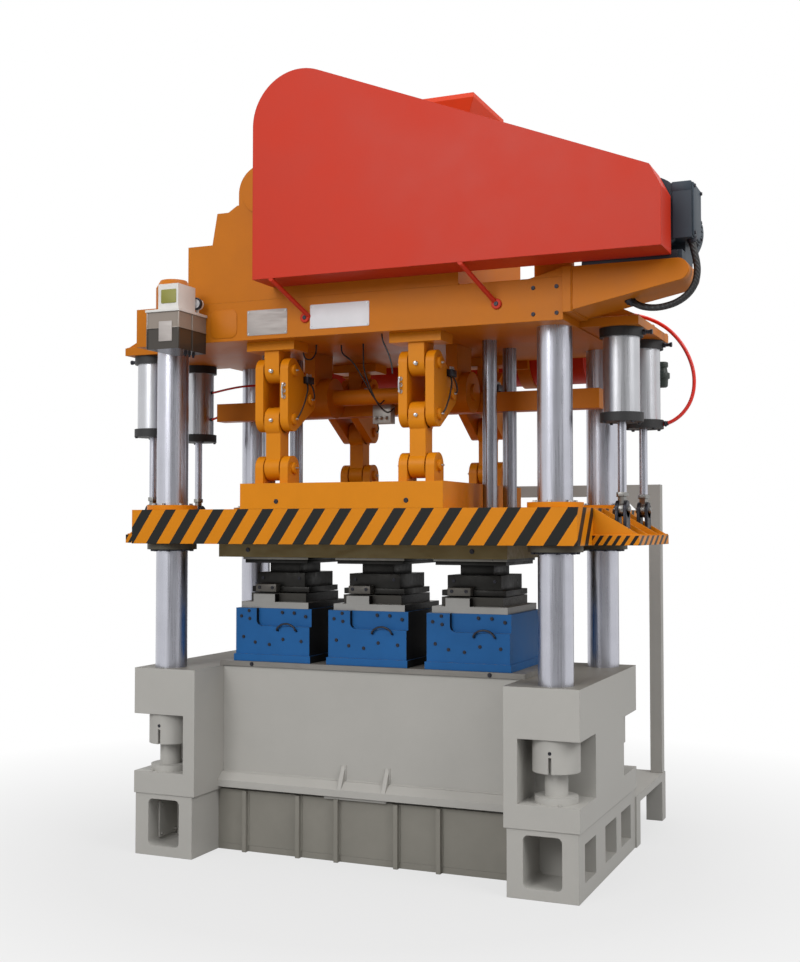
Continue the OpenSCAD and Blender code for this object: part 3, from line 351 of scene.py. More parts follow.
def moulded_plastic(name, tone, rough):
    """Moulded plastic: an even tone, a fine pebbled grain drawn coarse enough to show, and rounded edges."""
    tree, shader, place = surface(name)
    pebble = add_node(tree, "ShaderNodeTexNoise", {
        "Vector": place, "Scale": 1 / PLASTIC_PEBBLE, "Detail": 3.0})
    cloud = add_node(tree, "ShaderNodeTexNoise", {"Vector": place, "Scale": 1 / PLASTIC_CLOUD, "Detail": 3.0})
    tint = add_node(tree, "ShaderNodeMix", {
        0: cloud.outputs["Fac"], 6: shade(tone, 0.9), 7: shade(tone, 1.1)}, data_type="RGBA")
    edge = add_node(tree, "ShaderNodeBevel", {"Radius": PLASTIC_EDGE}, samples=4)
    bump = add_node(tree, "ShaderNodeBump", {
        "Strength": 0.1, "Distance": 0.3 * MM, "Height": pebble.outputs["Fac"],
        "Normal": edge.outputs["Normal"]})
    shader.inputs["Roughness"].default_value = rough
    tree.links.new(tint.outputs[2], shader.inputs["Base Color"])
    tree.links.new(bump.outputs["Normal"], shader.inputs["Normal"])
    return tree, shader, place, tint.outputs[2]


def ribbed_conduit(name, tone):
    """Corrugated plastic conduit: rings every 9 mm along the sleeve, shown as bands of gloss and bump."""
    tree, shader, place, _ = moulded_plastic(name, tone, 0.5)
    rings = add_node(tree, "ShaderNodeTexWave", {
        "Vector": place, "Scale": 2 * math.pi / (20 * CONDUIT_RING)}, bands_direction="DIAGONAL")
    bump = add_node(tree, "ShaderNodeBump", {
        "Strength": 0.8, "Distance": 2 * MM, "Height": rings.outputs["Fac"]})
    tree.links.new(bump.outputs["Normal"], shader.inputs["Normal"])


# The solids that each finish goes on
NODE_FINISHES = {
    "Grey machine enamel": (
        "base_ends", "bed_body", "lower_nuts", "rear_platform", "rear_stand"),
    "Grey enamel with oiled top": ("bed_ends",),
    "Dusty grey enamel with painted shade": ("base_plate", "lower_walls"),
    "Orange machine enamel": (
        "slide_box", "front_upper_links", "front_lower_links", "rear_upper_links", "rear_lower_links",
        "crown_lugs"),
    "Orange enamel with striped edge": ("slide_brackets",),
    "Striped orange enamel": ("slide_beam",),
    "Orange enamel over dark wiper": ("guide_collars",),
    "Dusty orange enamel with painted shade": (
        "crown_beam", "gearbox_housing", "motor_bracket", "upper_nuts", "cross_beam", "cylinder_brackets",
        "tank_brackets", "crank_hangers"),
    "Red machine enamel": ("belt_guard", "guard_struts", "air_tank"),
    "Red enamel with painted light": ("red_hood",),
    "Blue machine enamel": ("lower_moulds",),
    "Slate motor enamel": ("motor",),
    "Oiled chrome": ("guide_rods",),
    "Chromed column with painted foot": ("columns",),
    "Anodised barrel with black caps": ("balance_cylinders",),
    "Machined steel": ("belt_wheel", "motor_pulley"),
    "Ground mould plate with dark insert": ("mould_plates",),
    "Olive oiled plate": ("backing_plate",),
    "Dull planed plate": ("bolster_plate",),
    "Black rubber": ("drive_belt",),
    "Smoky reservoir plastic": ("lubricator_tank",),
    "White moulded plastic": ("lubricator_box",),
}


class PRESS_OT_finishes(bpy.types.Operator):
    """Mix every paint, metal and plastic of the press, and give each solid its finish"""
    bl_idname = "press.finishes"
    bl_label = "Finishes"

    def execute(self, context):
        c = colours()
        # Light machine grey, satin: the bed shows soft clouds of tone and rubbed corners
        enamel("Grey machine enamel", c.grey, 0.5, 0.04, "#7E7B74", 0.5)
        # The bed's tops, where oil from the columns has browned the paint
        tree, shader, place, paint = enamel("Grey enamel with oiled top", c.grey, 0.5, 0.04, "#7E7B74", 0.5)
        face = add_node(tree, "ShaderNodeNewGeometry").outputs["True Normal"]
        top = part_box("bed_ends")[1].z
        masked(tree, shader, paint, linear("#7F7C75"), (
            (place, "Z", top - 5 * MM, top + 5 * MM), (face, "Z", *STRAIGHT)))
        # The same grey, darker: partly painted shade under the ledge, partly clay dust and splashes near the
        # ground
        enamel("Dusty grey enamel with painted shade", linear("#88857D"), 0.62, 0.09, "#7E7B74", 0.5)
        # Warm orange gloss on the slide and toggles: lightly greasy, with chips at corners
        enamel("Orange machine enamel", c.orange, 0.42, 0.07)
        # The same orange with black warning stripes, wide on the slide's edge and narrow on its brackets
        low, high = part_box("slide_beam")
        pitch = sizes().stripe_pitch
        striped_enamel("Striped orange enamel", c.orange, c.stripe, high.z, pitch, pitch, high.z + 0.1)
        pitch, aside, rise = BRACKET_STRIPES
        striped_enamel(
            "Orange enamel with striped edge", c.orange, c.stripe, low.z, pitch, aside, low.z + rise)
        # The collars are orange on the slide and bare dark steel under it
        tree, shader, place, paint = enamel("Orange enamel over dark wiper", c.orange, 0.42, 0.07)
        masked(tree, shader, paint, linear("#514E44"), ((place, "Z", 0.0, low.z),))
        # Older orange on the crown: a little browner and darker, partly as painted shade from the guard above
        # and partly from shop dust, which also dulls it
        enamel("Dusty orange enamel with painted shade", c.crown, 0.46, 0.09)
        # Sprayed red sheet metal: even, satin, slightly orange
        enamel("Red machine enamel", c.red, 0.45, 0.05, "#8C3A28", 0.3)
        # The same red with painted light: lighter, as the hood's face is lit strongly by the roof lights
        enamel("Red enamel with painted light", linear("#DC4422"), 0.45, 0.05, "#8C3A28", 0.3)
        # Blue brushed on the mould boxes: patchy, chipped to grey steel, with painted shade: near-black on
        # the sides between two boxes
        tree, shader, place, paint = enamel("Blue machine enamel", c.blue, 0.42, 0.14, "#5F6870", 0.9)
        face = add_node(tree, "ShaderNodeNewGeometry").outputs["True Normal"]
        aside = add_node(tree, "ShaderNodeVectorMath", {0: face}, operation="ABSOLUTE").outputs[0]
        masked(tree, shader, paint, linear("#16181C"), ((place, "X", *BOXES_PAINTED_SHADE), (aside, "X", *LEANING)))
        # Slate hammer finish on the motor castings
        enamel("Slate motor enamel", c.slate, 0.48, 0.1)
        # Ground hard chrome: bright, with soft lines drawn along the columns and rods
        turned_metal("Oiled chrome", tuple(0.62 * v for v in c.chrome), 0.26, 0.006, ROD_LINES)
        metal = turned_metal("Chromed column with painted foot", c.chrome, 0.3, 0.006, ROD_LINES)
        painted_ends(*metal, c.grey, COLUMN_PAINT, CAD_BOX[1][2])
        turned_metal("Bright chrome", c.chrome, 0.26, 0.006, ROD_LINES)
        # Ground plates and turned wheels: grey, fine lines along X
        turned_metal("Machined steel", c.steel, 0.34, 0.008, PLATE_LINES)
        # Hardened die steel, blacked and oiled: dark, broken sheen, left bright on the top plate's front edge
        tree, shader, place, steel = turned_metal(
            "Black oiled tool steel", c.tool_steel, 0.36, 0.02, (1.0, 1.0, 0.6), metallic=0.7)
        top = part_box("upper_dies")[1].z
        face = add_node(tree, "ShaderNodeNewGeometry").outputs["True Normal"]
        masked(tree, shader, steel, linear("#77746E"), (
            (place, "Z", top - 0.0155, top + 0.01), (face, "Y", -STRAIGHT[1], -STRAIGHT[0])))
        # Guide blocks of the dies: bare steel, dulled
        turned_metal("Dull tool steel", linear("#5C5954"), 0.5, 0.02, (0.3, 1.0, 1.0), metallic=0.4)
        # Ground plate and guide blocks in grey, round a dark hardened insert
        tree, shader, place, steel = turned_metal(
            "Ground mould plate with dark insert", c.steel, 0.4, 0.008, PLATE_LINES, metallic=0.6)
        low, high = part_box("mould_plates")
        inset = masked(tree, shader, steel, linear("#35332F"), (
            (place, "Z", low.z + 0.0325, high.z + 0.01), (place, "Y", -0.19, 0.19)))
        # Painted shade: the plates' sides between two moulds are near-black
        face = add_node(tree, "ShaderNodeNewGeometry").outputs["True Normal"]
        masked(tree, shader, inset, linear("#1C1B1A"), ((place, "X", *PLATES_PAINTED_SHADE), (face, "X", *LEANING)))
        # Hot-rolled plate with oil and brown dust: dull olive, weak sheen
        turned_metal("Olive oiled plate", c.olive, 0.45, 0.03, (0.4, 1.0, 1.0), metallic=0.3)
        # Planed bolster: grey steel dulled by clay dust, lines along X
        turned_metal("Dull planed plate", linear("#807D78"), 0.55, 0.03, (0.3, 1.0, 1.0), metallic=0.25)
        # Drawn aluminium tube, anodised: pale, with fine lines along it, between black enamelled caps
        metal = turned_metal("Anodised barrel with black caps", c.aluminium, 0.32, 0.010, ROD_LINES)
        low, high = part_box("balance_cylinders")
        painted_ends(*metal, c.rubber, low.z + CYLINDER_CAP, high.z - CYLINDER_CAP)
        # Moulded rubber of belt and seals: black, dull
        moulded_plastic("Black rubber", c.rubber, 0.6)
        # Reservoir moulded in clear plastic: dark grease behind its lower wall, grey light through the upper
        tree, shader, place, plastic = moulded_plastic("Smoky reservoir plastic", linear("#3A342E"), 0.18)
        masked(tree, shader, plastic, linear("#8B8076"), ((place, "Z", RESERVOIR_BAND, CAD_BOX[1][2]),))
        # Off-white box plastic, fine grain
        moulded_plastic("White moulded plastic", c.white, 0.42)
        # Stoved white on thin bare sign plates
        moulded_plastic("White stoved plate", linear("#D9D9DC"), 0.55)
        # Etched aluminium name plate, left bare: dull, weakly metallic, faint lines along it
        turned_metal("Etched plate", linear("#A9A29E"), 0.62, 0.01, PLATE_LINES, metallic=0.15)
        # Cast valve body: bead-blasted, silver grey, matt
        turned_metal("Cast aluminium", linear("#A2A19C"), 0.5, 0.004, EVEN_GRAIN, metallic=0.5)
        # Regulator body: dark green enamel on a small casting
        moulded_plastic("Dark green casting", linear("#26302A"), 0.45)
        # Bead-blasted olive panel of the control box
        moulded_plastic("Olive panel", linear("#7C7A2A"), 0.5)
        # Blown plastic conduit: black, with dull rings that show as bands of gloss
        ribbed_conduit("Corrugated black conduit", c.rubber)
        # Extruded air hose: bright red, glossy
        moulded_plastic("Red air hose plastic", c.hose, 0.28)
        # Blackened steel of screws, blocks and fittings
        turned_metal("Blackened steel", linear("#34343A"), 0.4, 0.01, EVEN_GRAIN, metallic=0.8)
        # Zinc plated screws and fittings: bright with a dull grey film
        turned_metal("Zinc plate", linear("#BDBFC0"), 0.32, 0.01, EVEN_GRAIN)
        for name, nodes in NODE_FINISHES.items():
            for node in nodes:
                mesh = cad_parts[node].data
                mesh.materials.clear()
                mesh.materials.append(bpy.data.materials[name])
        return {"FINISHED"}


def box(form, low, high):
    """Add a box between two corners."""
    low = Vector(low)
    high = Vector(high)
    place = Matrix.Translation((low + high) / 2) @ Matrix.Diagonal((*(high - low), 1.0))
    bmesh.ops.create_cube(form, size=1.0, matrix=place)


def rod(form, start, end, radius, far_radius=None, sides=24):
    """Add a round or tapered bar between two points."""
    start = Vector(start)
    axis = Vector(end) - start
    place = Matrix.Translation(start + axis / 2) @ axis.to_track_quat("Z", "Y").to_matrix().to_4x4()
    bmesh.ops.create_cone(
        form, cap_ends=True, segments=sides, radius1=radius,
        radius2=radius if far_radius is None else far_radius,
        depth=axis.length, matrix=place)


# Profiles of the turned fittings, as (radius, height) points in metres
WIPER_RING = ((0.083, 0.0), (0.096, 0.0), (0.095, 0.005), (0.089, 0.008), (0.083, 0.008))
CLEVIS_NUT = ((0.0, 0.0), (0.022, 0.0), (0.022, 0.028), (0.029, 0.030), (0.029, 0.050), (0.0, 0.050))
GAUGE_CASE = (
    (0.0, 0.0), (0.027, 0.0), (0.030, 0.004), (0.030, 0.017), (0.027, 0.020), (0.023, 0.020), (0.023, 0.0165),
    (0.0, 0.0165))
GAUGE_DIAL = ((0.0, 0.012), (0.0228, 0.012), (0.0228, 0.0175), (0.0, 0.0175))
GREASE_OUTLET = ((0.0, -0.002), (0.009, -0.002), (0.009, 0.010), (0.006, 0.012), (0.006, 0.020), (0.0, 0.020))
GREASE_NIPPLE = ((0.0, -0.003), (0.006, -0.003), (0.006, 0.005), (0.0035, 0.007), (0.0045, 0.012),
                 (0.0, 0.013))
PIN_KEEPER = ((0.0, -0.002), (0.028, -0.002), (0.028, 0.004), (0.025, 0.006), (0.0, 0.006))
TUBE_NUT = ((0.0, -0.002), (0.006, -0.002), (0.006, 0.007), (0.004, 0.009), (0.004, 0.015), (0.0, 0.015))
TUBE_STEM = ((0.0, 0.0), (0.011, 0.0), (0.011, 0.060), (0.007, 0.064), (0.007, 0.076), (0.0, 0.078))
VALVE_PORT = ((0.0, 0.0), (0.010, 0.0), (0.010, 0.012), (0.007, 0.015), (0.007, 0.026), (0.0, 0.026))
PIPE_UNION = (
    (0.0, 0.0), (0.013, 0.0), (0.013, 0.014), (0.009, 0.016), (0.009, 0.034), (0.012, 0.036), (0.012, 0.046),
    (0.0, 0.046))
REGULATOR = (
    (0.0, 0.0), (0.020, 0.0), (0.026, 0.006), (0.028, 0.040), (0.036, 0.044), (0.036, 0.070), (0.026, 0.074),
    (0.022, 0.098), (0.028, 0.100), (0.028, 0.122), (0.022, 0.126), (0.0, 0.126))
TANK_DRAIN = (
    (0.0, 0.0), (0.016, 0.0), (0.016, 0.014), (0.009, 0.016), (0.009, 0.034), (0.013, 0.036), (0.013, 0.048),
    (0.0, 0.048))
TANK_RELIEF = (
    (0.0, 0.0), (0.018, 0.0), (0.018, 0.016), (0.011, 0.018), (0.011, 0.050), (0.016, 0.052), (0.016, 0.074),
    (0.008, 0.080), (0.0, 0.080))
GRILLE_HUB = ((0.0, -0.002), (0.024, -0.002), (0.024, 0.006), (0.0, 0.007))
STRUT_LUG = ((0.0, 0.0), (0.024, 0.0), (0.024, 0.008), (0.021, 0.011), (0.0, 0.011))
# The same for a gland, in diameters of its cord
CORD_GLAND = ((0.5, 0.0), (0.8, 0.0), (0.8, 0.5), (0.66, 0.6), (0.62, 1.1), (0.5, 1.1))
# The same for rings, from the ring's own radius
TANK_SEAM = ((-0.002, -0.006), (0.002, -0.004), (0.003, 0.0), (0.002, 0.004), (-0.002, 0.006))
GRILLE_WIRE = ((-0.003, -0.002), (0.003, -0.002), (0.003, 0.004), (-0.003, 0.004))


def turned(form, centre, axis, profile, sides=40, scale=1.0, radius=0.0):
    """Add a closed ring or knob: a profile of (radius, height) points turned round an axis."""
    turn = Vector(axis).to_track_quat("Z", "Y").to_matrix().to_4x4()
    place = Matrix.Translation(Vector(centre)) @ turn
    rings = []
    for i in range(sides):
        a = 2 * math.pi * i / sides
        ring = []
        for r, h in profile:
            out = radius + scale * r
            ring.append(form.verts.new(place @ Vector((out * math.cos(a), out * math.sin(a), scale * h))))
        rings.append(ring)
    count = len(profile)
    for i in range(sides):
        here = rings[i]
        there = rings[(i + 1) % sides]
        for k in range(count):
            n = (k + 1) % count
            form.faces.new((here[k], there[k], there[n], here[n]))


def smooth_path(points, steps=6):
    """Points on a smooth curve through the given ones."""
    knots = [Vector(p) for p in points]
    knots = [2 * knots[0] - knots[1], *knots, 2 * knots[-1] - knots[-2]]
    path = []
    for i in range(1, len(knots) - 2):
        a, b, c, d = knots[i - 1:i + 3]
        for k in range(steps):
            t = k / steps
            path.append(0.5 * (2 * b + (c - a) * t + (2 * a - 5 * b + 4 * c - d) * t * t
                               + (3 * b - a - 3 * c + d) * t * t * t))
    path.append(knots[-2])
    return path


def pipe(form, points, radius, sides=10, steps=6):
    """Add a round pipe along a smooth path, closed at both ends."""
    path = smooth_path(points, steps)
    rings = []
    side = None
    for i, p in enumerate(path):
        ahead = (path[min(i + 1, len(path) - 1)] - path[max(i - 1, 0)]).normalized()
        side = ahead.orthogonal() if side is None else side - side.dot(ahead) * ahead
        side.normalize()
        other = ahead.cross(side)
        rings.append([form.verts.new(p + radius * (math.cos(a) * side + math.sin(a) * other))
                      for a in (2 * math.pi * k / sides for k in range(sides))])
    for here, there in zip(rings, rings[1:]):
        for k in range(sides):
            n = (k + 1) % sides
            form.faces.new((here[k], here[n], there[n], there[k]))
    form.faces.new(list(reversed(rings[0])))
    form.faces.new(rings[-1])


def panel(form, outline, lift, out, thick):
    """Add a plate: an outline of (across, up) points on an upright face at lift, standing out by thick."""
    across = Vector((-out.y, out.x, 0.0))
    face = form.faces.new([form.verts.new(across * a + UP * b + lift) for a, b in outline])
    grown = bmesh.ops.extrude_face_region(form, geom=[face])["geom"]
    corners = [v for v in grown if isinstance(v, bmesh.types.BMVert)]
    bmesh.ops.translate(form, verts=corners, vec=out * thick)


def rounded(width, height, radius, steps=5):
    """Outline of a rectangle with round corners about its middle."""
    outline = []
    for cx, cy, start in ((1, 1, 0), (-1, 1, 90), (-1, -1, 180), (1, -1, 270)):
        for i in range(steps + 1):
            a = math.radians(start + 90 * i / steps)
            outline.append((cx * (width / 2 - radius) + radius * math.cos(a),
                            cy * (height / 2 - radius) + radius * math.sin(a)))
    return outline


def piece(name, form, finish, body, soft=0.0):
    """Turn a form into a finished piece that rides on a body."""
    bmesh.ops.recalc_face_normals(form, faces=form.faces)
    if soft:
        least = math.radians(BEVEL_ANGLE)
        edges = [e for e in form.edges if len(e.link_faces) == 2 and e.calc_face_angle() > least]
        bmesh.ops.bevel(form, geom=edges, offset=soft, segments=2, profile=0.5, affect="EDGES",
                        clamp_overlap=True)
    mesh = bpy.data.meshes.new(name)
    form.to_mesh(mesh)
    form.free()
    for polygon in mesh.polygons:
        polygon.use_smooth = True
    mesh.set_sharp_from_angle(angle=math.radians(SHARP_ANGLE))
    mesh.materials.append(bpy.data.materials[finish])
    made = placed(name, mesh)
    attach(made, body)
    return made


# Routes of the cords, as in the solids
CONDUIT_ROUTE = (
    (1.650, -0.560, 2.882), (1.654, -0.561, 2.852), (1.660, -0.562, 2.822), (1.667, -0.563, 2.792),
    (1.673, -0.563, 2.762), (1.676, -0.563, 2.732), (1.674, -0.563, 2.702), (1.667, -0.562, 2.674),
    (1.653, -0.560, 2.648), (1.632, -0.557, 2.625), (1.605, -0.552, 2.607), (1.574, -0.546, 2.594),
    (1.542, -0.539, 2.587), (1.510, -0.531, 2.584), (1.480, -0.524, 2.585), (1.450, -0.517, 2.590),
    (1.422, -0.511, 2.599), (1.396, -0.506, 2.613), (1.374, -0.502, 2.630), (1.364, -0.500, 2.640))
HOSE_ROUTE = (
    (1.084, 0.200, 2.690), (1.150, 0.200, 2.690), (1.200, 0.200, 2.686), (1.250, 0.200, 2.676),
    (1.300, 0.202, 2.660), (1.350, 0.204, 2.636), (1.398, 0.208, 2.602), (1.440, 0.212, 2.558),
    (1.474, 0.216, 2.508), (1.500, 0.220, 2.452), (1.516, 0.222, 2.394), (1.520, 0.224, 2.336),
    (1.512, 0.226, 2.280), (1.492, 0.226, 2.230), (1.460, 0.226, 2.188), (1.424, 0.226, 2.160),
    (1.392, 0.226, 2.145), (1.370, 0.226, 2.140))
TANK_LINE_ROUTE = (
    (-1.192, 0.226, 2.398), (-1.165, 0.226, 2.401), (-1.135, 0.230, 2.407), (-1.105, 0.238, 2.414),
    (-1.075, 0.250, 2.421), (-1.045, 0.266, 2.428), (-1.015, 0.286, 2.434), (-0.985, 0.310, 2.439),
    (-0.955, 0.338, 2.443), (-0.925, 0.370, 2.446), (-0.895, 0.406, 2.449), (-0.865, 0.446, 2.451),
    (-0.835, 0.490, 2.453), (-0.805, 0.538, 2.456), (-0.775, 0.588, 2.459), (-0.745, 0.640, 2.463),
    (-0.715, 0.692, 2.468), (-0.706, 0.708, 2.470))
BEAM_LINE_ROUTE = (
    (-1.192, 0.222, 2.246), (-1.184, 0.221, 2.247), (-1.176, 0.219, 2.248), (-1.168, 0.217, 2.249),
    (-1.160, 0.214, 2.250), (-1.152, 0.211, 2.252), (-1.144, 0.207, 2.253), (-1.136, 0.203, 2.255),
    (-1.128, 0.198, 2.257), (-1.120, 0.194, 2.258), (-1.112, 0.190, 2.260), (-1.104, 0.187, 2.261),
    (-1.096, 0.184, 2.262), (-1.088, 0.182, 2.263), (-1.078, 0.180, 2.264), (-1.072, 0.179, 2.264))


def hang_cord(name, route, diameter, finish, node):
    """Lay a cord along its route in place of its solid."""
    curve = bpy.data.curves.new(name, "CURVE")
    curve.dimensions = "3D"
    curve.bevel_depth = diameter / 2
    curve.bevel_resolution = 4
    curve.resolution_u = 6
    curve.use_fill_caps = True
    spline = curve.splines.new("POLY")
    path = smooth_path(route, 4)
    spline.points.add(len(path) - 1)
    for point, place in zip(spline.points, path):
        point.co = (*place, 1.0)
    curve.materials.append(bpy.data.materials[finish])
    cord = placed(name, curve)
    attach(cord, "frame")
    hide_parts(node)
    return cord


class PRESS_OT_cords(bpy.types.Operator):
    """Hang the motor conduit, the air hose and two thin air lines, with their end fittings"""
    bl_idname = "press.cords"
    bl_label = "Conduit and hose"

    def execute(self, context):
        s = sizes()
        form = bmesh.new()
        for name, route, size, finish, node in (
                ("conduit_cord", CONDUIT_ROUTE, s.conduit, "Corrugated black conduit", "motor_conduit"),
                ("hose_cord", HOSE_ROUTE, s.hose, "Red air hose plastic", "air_hose"),
                ("tank_line_cord", TANK_LINE_ROUTE, s.air_line, "Red air hose plastic", "air_hose"),
                ("beam_line_cord", BEAM_LINE_ROUTE, s.air_line, "Red air hose plastic", "air_hose")):
            hang_cord(name, route, size, finish, node)
            for end, near in ((route[0], route[1]), (route[-1], route[-2])):
                ahead = (Vector(near) - Vector(end)).normalized()
                turned(form, Vector(end) + ahead * size * 0.2, ahead, CORD_GLAND, 12, size)
        piece("cord_fittings", form, "Blackened steel", "frame", 0.6 * MM)
        return {"FINISHED"}


def begin_tree(name, values):
    """Begin a Geometry Nodes tree that takes in a geometry, some (name, kind) values and a finish."""
    tree = bpy.data.node_groups.new(name, "GeometryNodeTree")
    for label, kind in (("Geometry", "Geometry"), *values, ("Finish", "Material")):
        tree.interface.new_socket(label, in_out="INPUT", socket_type="NodeSocket" + kind)
    tree.interface.new_socket("Geometry", in_out="OUTPUT", socket_type="NodeSocketGeometry")
    return tree, add_node(tree, "NodeGroupInput").outputs


def end_tree(tree, inlet, shape):
    """End a tree: make its instances real and give them the finish."""
    real = add_node(tree, "GeometryNodeRealizeInstances", {"Geometry": shape})
    done = add_node(tree, "GeometryNodeSetMaterial", {
        "Geometry": real.outputs["Geometry"], "Material": inlet["Finish"]})
    add_node(tree, "NodeGroupOutput", {"Geometry": done.outputs["Geometry"]})
    return tree


def bolt_tree():
    """Geometry Nodes tree that sets a head on a washer at each point, turned to the point's axis."""
    tree, inlet = begin_tree("Bolt heads", (
        ("Sides", "Int"), ("Head radius", "Float"), ("Head height", "Float"), ("Washer radius", "Float"),
        ("Washer height", "Float"), ("Socket radius", "Float")))
    head = add_node(tree, "GeometryNodeMeshCylinder", {
        "Vertices": inlet["Sides"], "Radius": inlet["Head radius"], "Depth": inlet["Head height"]})
    hollow = add_node(tree, "GeometryNodeMeshCylinder", {
        "Vertices": 6, "Radius": inlet["Socket radius"], "Depth": inlet["Head height"]})
    half = add_node(tree, "ShaderNodeMath", {0: inlet["Head height"], 1: 0.5}, operation="MULTIPLY")
    sunk = add_node(tree, "ShaderNodeCombineXYZ", {"Z": half.outputs[0]})
    key = add_node(tree, "GeometryNodeTransform", {
        "Geometry": hollow.outputs["Mesh"], "Translation": sunk.outputs[0]})
    drilled = add_node(tree, "GeometryNodeMeshBoolean", {0: head.outputs["Mesh"], 1: key.outputs["Geometry"]},
                       operation="DIFFERENCE")
    rise = add_node(tree, "ShaderNodeMath", {0: half.outputs[0], 1: inlet["Washer height"]}, operation="ADD")
    lift = add_node(tree, "ShaderNodeCombineXYZ", {"Z": rise.outputs[0]})
    raised = add_node(tree, "GeometryNodeTransform", {
        "Geometry": drilled.outputs[0], "Translation": lift.outputs[0]})
    ring = add_node(tree, "GeometryNodeMeshCylinder", {
        "Vertices": 20, "Radius": inlet["Washer radius"], "Depth": inlet["Washer height"]})
    thin = add_node(tree, "ShaderNodeMath", {0: inlet["Washer height"], 1: 0.5}, operation="MULTIPLY")
    low = add_node(tree, "ShaderNodeCombineXYZ", {"Z": thin.outputs[0]})
    washer = add_node(tree, "GeometryNodeTransform", {
        "Geometry": ring.outputs["Mesh"], "Translation": low.outputs[0]})
    bolt = add_node(tree, "GeometryNodeJoinGeometry")
    tree.links.new(raised.outputs["Geometry"], bolt.inputs[0])
    tree.links.new(washer.outputs["Geometry"], bolt.inputs[0])
    axis = add_node(tree, "GeometryNodeInputNamedAttribute", {"Name": "axis"}, data_type="FLOAT_VECTOR")
    turn = add_node(tree, "FunctionNodeAlignRotationToVector", {"Vector": axis.outputs["Attribute"]},
                    axis="Z")
    spread = add_node(tree, "GeometryNodeInstanceOnPoints", {
        "Points": inlet["Geometry"], "Instance": bolt.outputs[0], "Rotation": turn.outputs["Rotation"]})
    return end_tree(tree, inlet, spread.outputs["Instances"])


def settle(seed, tree, values, finish, body):
    """Run a Geometry Nodes tree on a seed and leave its plain mesh, riding on a body."""
    modifier = seed.modifiers.new(tree.name, "NODES")
    modifier.node_group = tree
    values["Finish"] = bpy.data.materials[finish]
    for item in tree.interface.items_tree:
        if item.in_out == "INPUT" and item.name in values:
            modifier[item.identifier] = values[item.name]
    ready = seed.evaluated_get(bpy.context.evaluated_depsgraph_get())
    plain = bpy.data.meshes.new_from_object(ready)
    seed.modifiers.clear()
    seed.data = plain
    if not plain.polygons:
        raise RuntimeError(f"nothing was made for {seed.name}")
    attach(seed, body)
    return seed


def bolts(name, places, body, finish, head, height, washer, washer_height, corners, socket):
    """Set one kind of bolt head at each (point, axis) and leave a plain mesh that rides on a body."""
    mesh = bpy.data.meshes.new(name)
    mesh.from_pydata([p for p, _ in places], [], [])
    axes = mesh.attributes.new("axis", "FLOAT_VECTOR", "POINT")
    for spot, (_, axis) in zip(axes.data, places):
        spot.vector = axis
    return settle(placed(name, mesh), bpy.data.node_groups.get("Bolt heads") or bolt_tree(), {
        "Sides": corners, "Head radius": head, "Head height": height, "Washer radius": washer,
        "Washer height": washer_height, "Socket radius": socket}, finish, body)


def hex_bolts(name, places, body, finish="Zinc plate", scale=1.0):
    """Hexagon heads on washers."""
    s = sizes()
    return bolts(name, places, body, finish, s.hex_head * scale, s.hex_height * scale, s.washer * scale,
                 2.5 * MM * scale, 6, 1.5 * MM)


def socket_bolts(name, places, body, finish="Blackened steel", scale=1.0):
    """Socket heads that stand a little out of their counterbores."""
    s = sizes()
    return bolts(name, places, body, finish, s.socket_head * scale, s.socket_height * scale,
                 s.socket_head * 1.25 * scale, 1.0 * MM, 20, s.socket_head * 0.55 * scale)


def circle(centre, radius, count, axis, start=0.0):
    """Bolt places round a vertical axis."""
    spots = []
    for i in range(count):
        a = math.radians(start + 360 * i / count)
        spots.append((Vector(centre) + radius * Vector((math.cos(a), math.sin(a), 0.0)), axis))
    return spots


def both_faces(block, across, height):
    """Bolt places at one height on the front and back faces of a block."""
    spots = []
    for x in across:
        spots.append((Vector((x, block[0].y, height)), FRONT))
        spots.append((Vector((x, block[1].y, height)), BACK))
    return spots


class PRESS_OT_fasteners(bpy.types.Operator):
    """Set the bolts of the crown, the slide with its collars and plate, the bolster and the bed"""
    bl_idname = "press.fasteners"
    bl_label = "Fasteners"

    def execute(self, context):
        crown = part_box("crown_beam")
        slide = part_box("slide_beam")
        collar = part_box("guide_collars")
        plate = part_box("backing_plate")
        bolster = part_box("bolster_plate")
        places = []
        for side, y in ((FRONT, crown[0].y), (BACK, crown[1].y)):
            for x in (0.972, 1.078):
                for z in (2.574, 2.690):
                    places.append((Vector((x, y, z)), side))
                    if side == BACK:
                        places.append((Vector((-x, y, z)), side))
        socket_bolts("crown_bolts", places, "frame", scale=0.65)
        places = [spot for c in COLUMNS for spot in circle(c + UP * collar[1].z, 0.094, 6, UP, 30)]
        hex_bolts("collar_bolts", places, "slide", "Zinc plate", 0.75)
        places = [spot for c in COLUMNS for spot in circle(c + UP * collar[0].z, 0.1, 8, DOWN, 22.5)]
        hex_bolts("collar_low_bolts", places, "slide", "Blackened steel", 0.8)
        rise = 0.036
        places = both_faces(slide, (-0.33, 0.347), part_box("slide_box")[0].z + rise)
        places += both_faces(plate, (-0.6, 0.595), plate[0].z + rise)
        socket_bolts("slide_plugs", places, "slide", scale=0.8)
        places = both_faces(bolster, (-0.632, 0.646), bolster[1].z - 0.0125)
        hex_bolts("bolster_bolts", places, "frame", "Blackened steel", 0.6)
        places = [(Vector((c.x + math.copysign(0.045, c.x), c.y - 0.1, 0.414)), UP) for c in COLUMNS]
        hex_bolts("bed_bolts", places, "frame", "Grey machine enamel", 0.6)
        return {"FINISHED"}


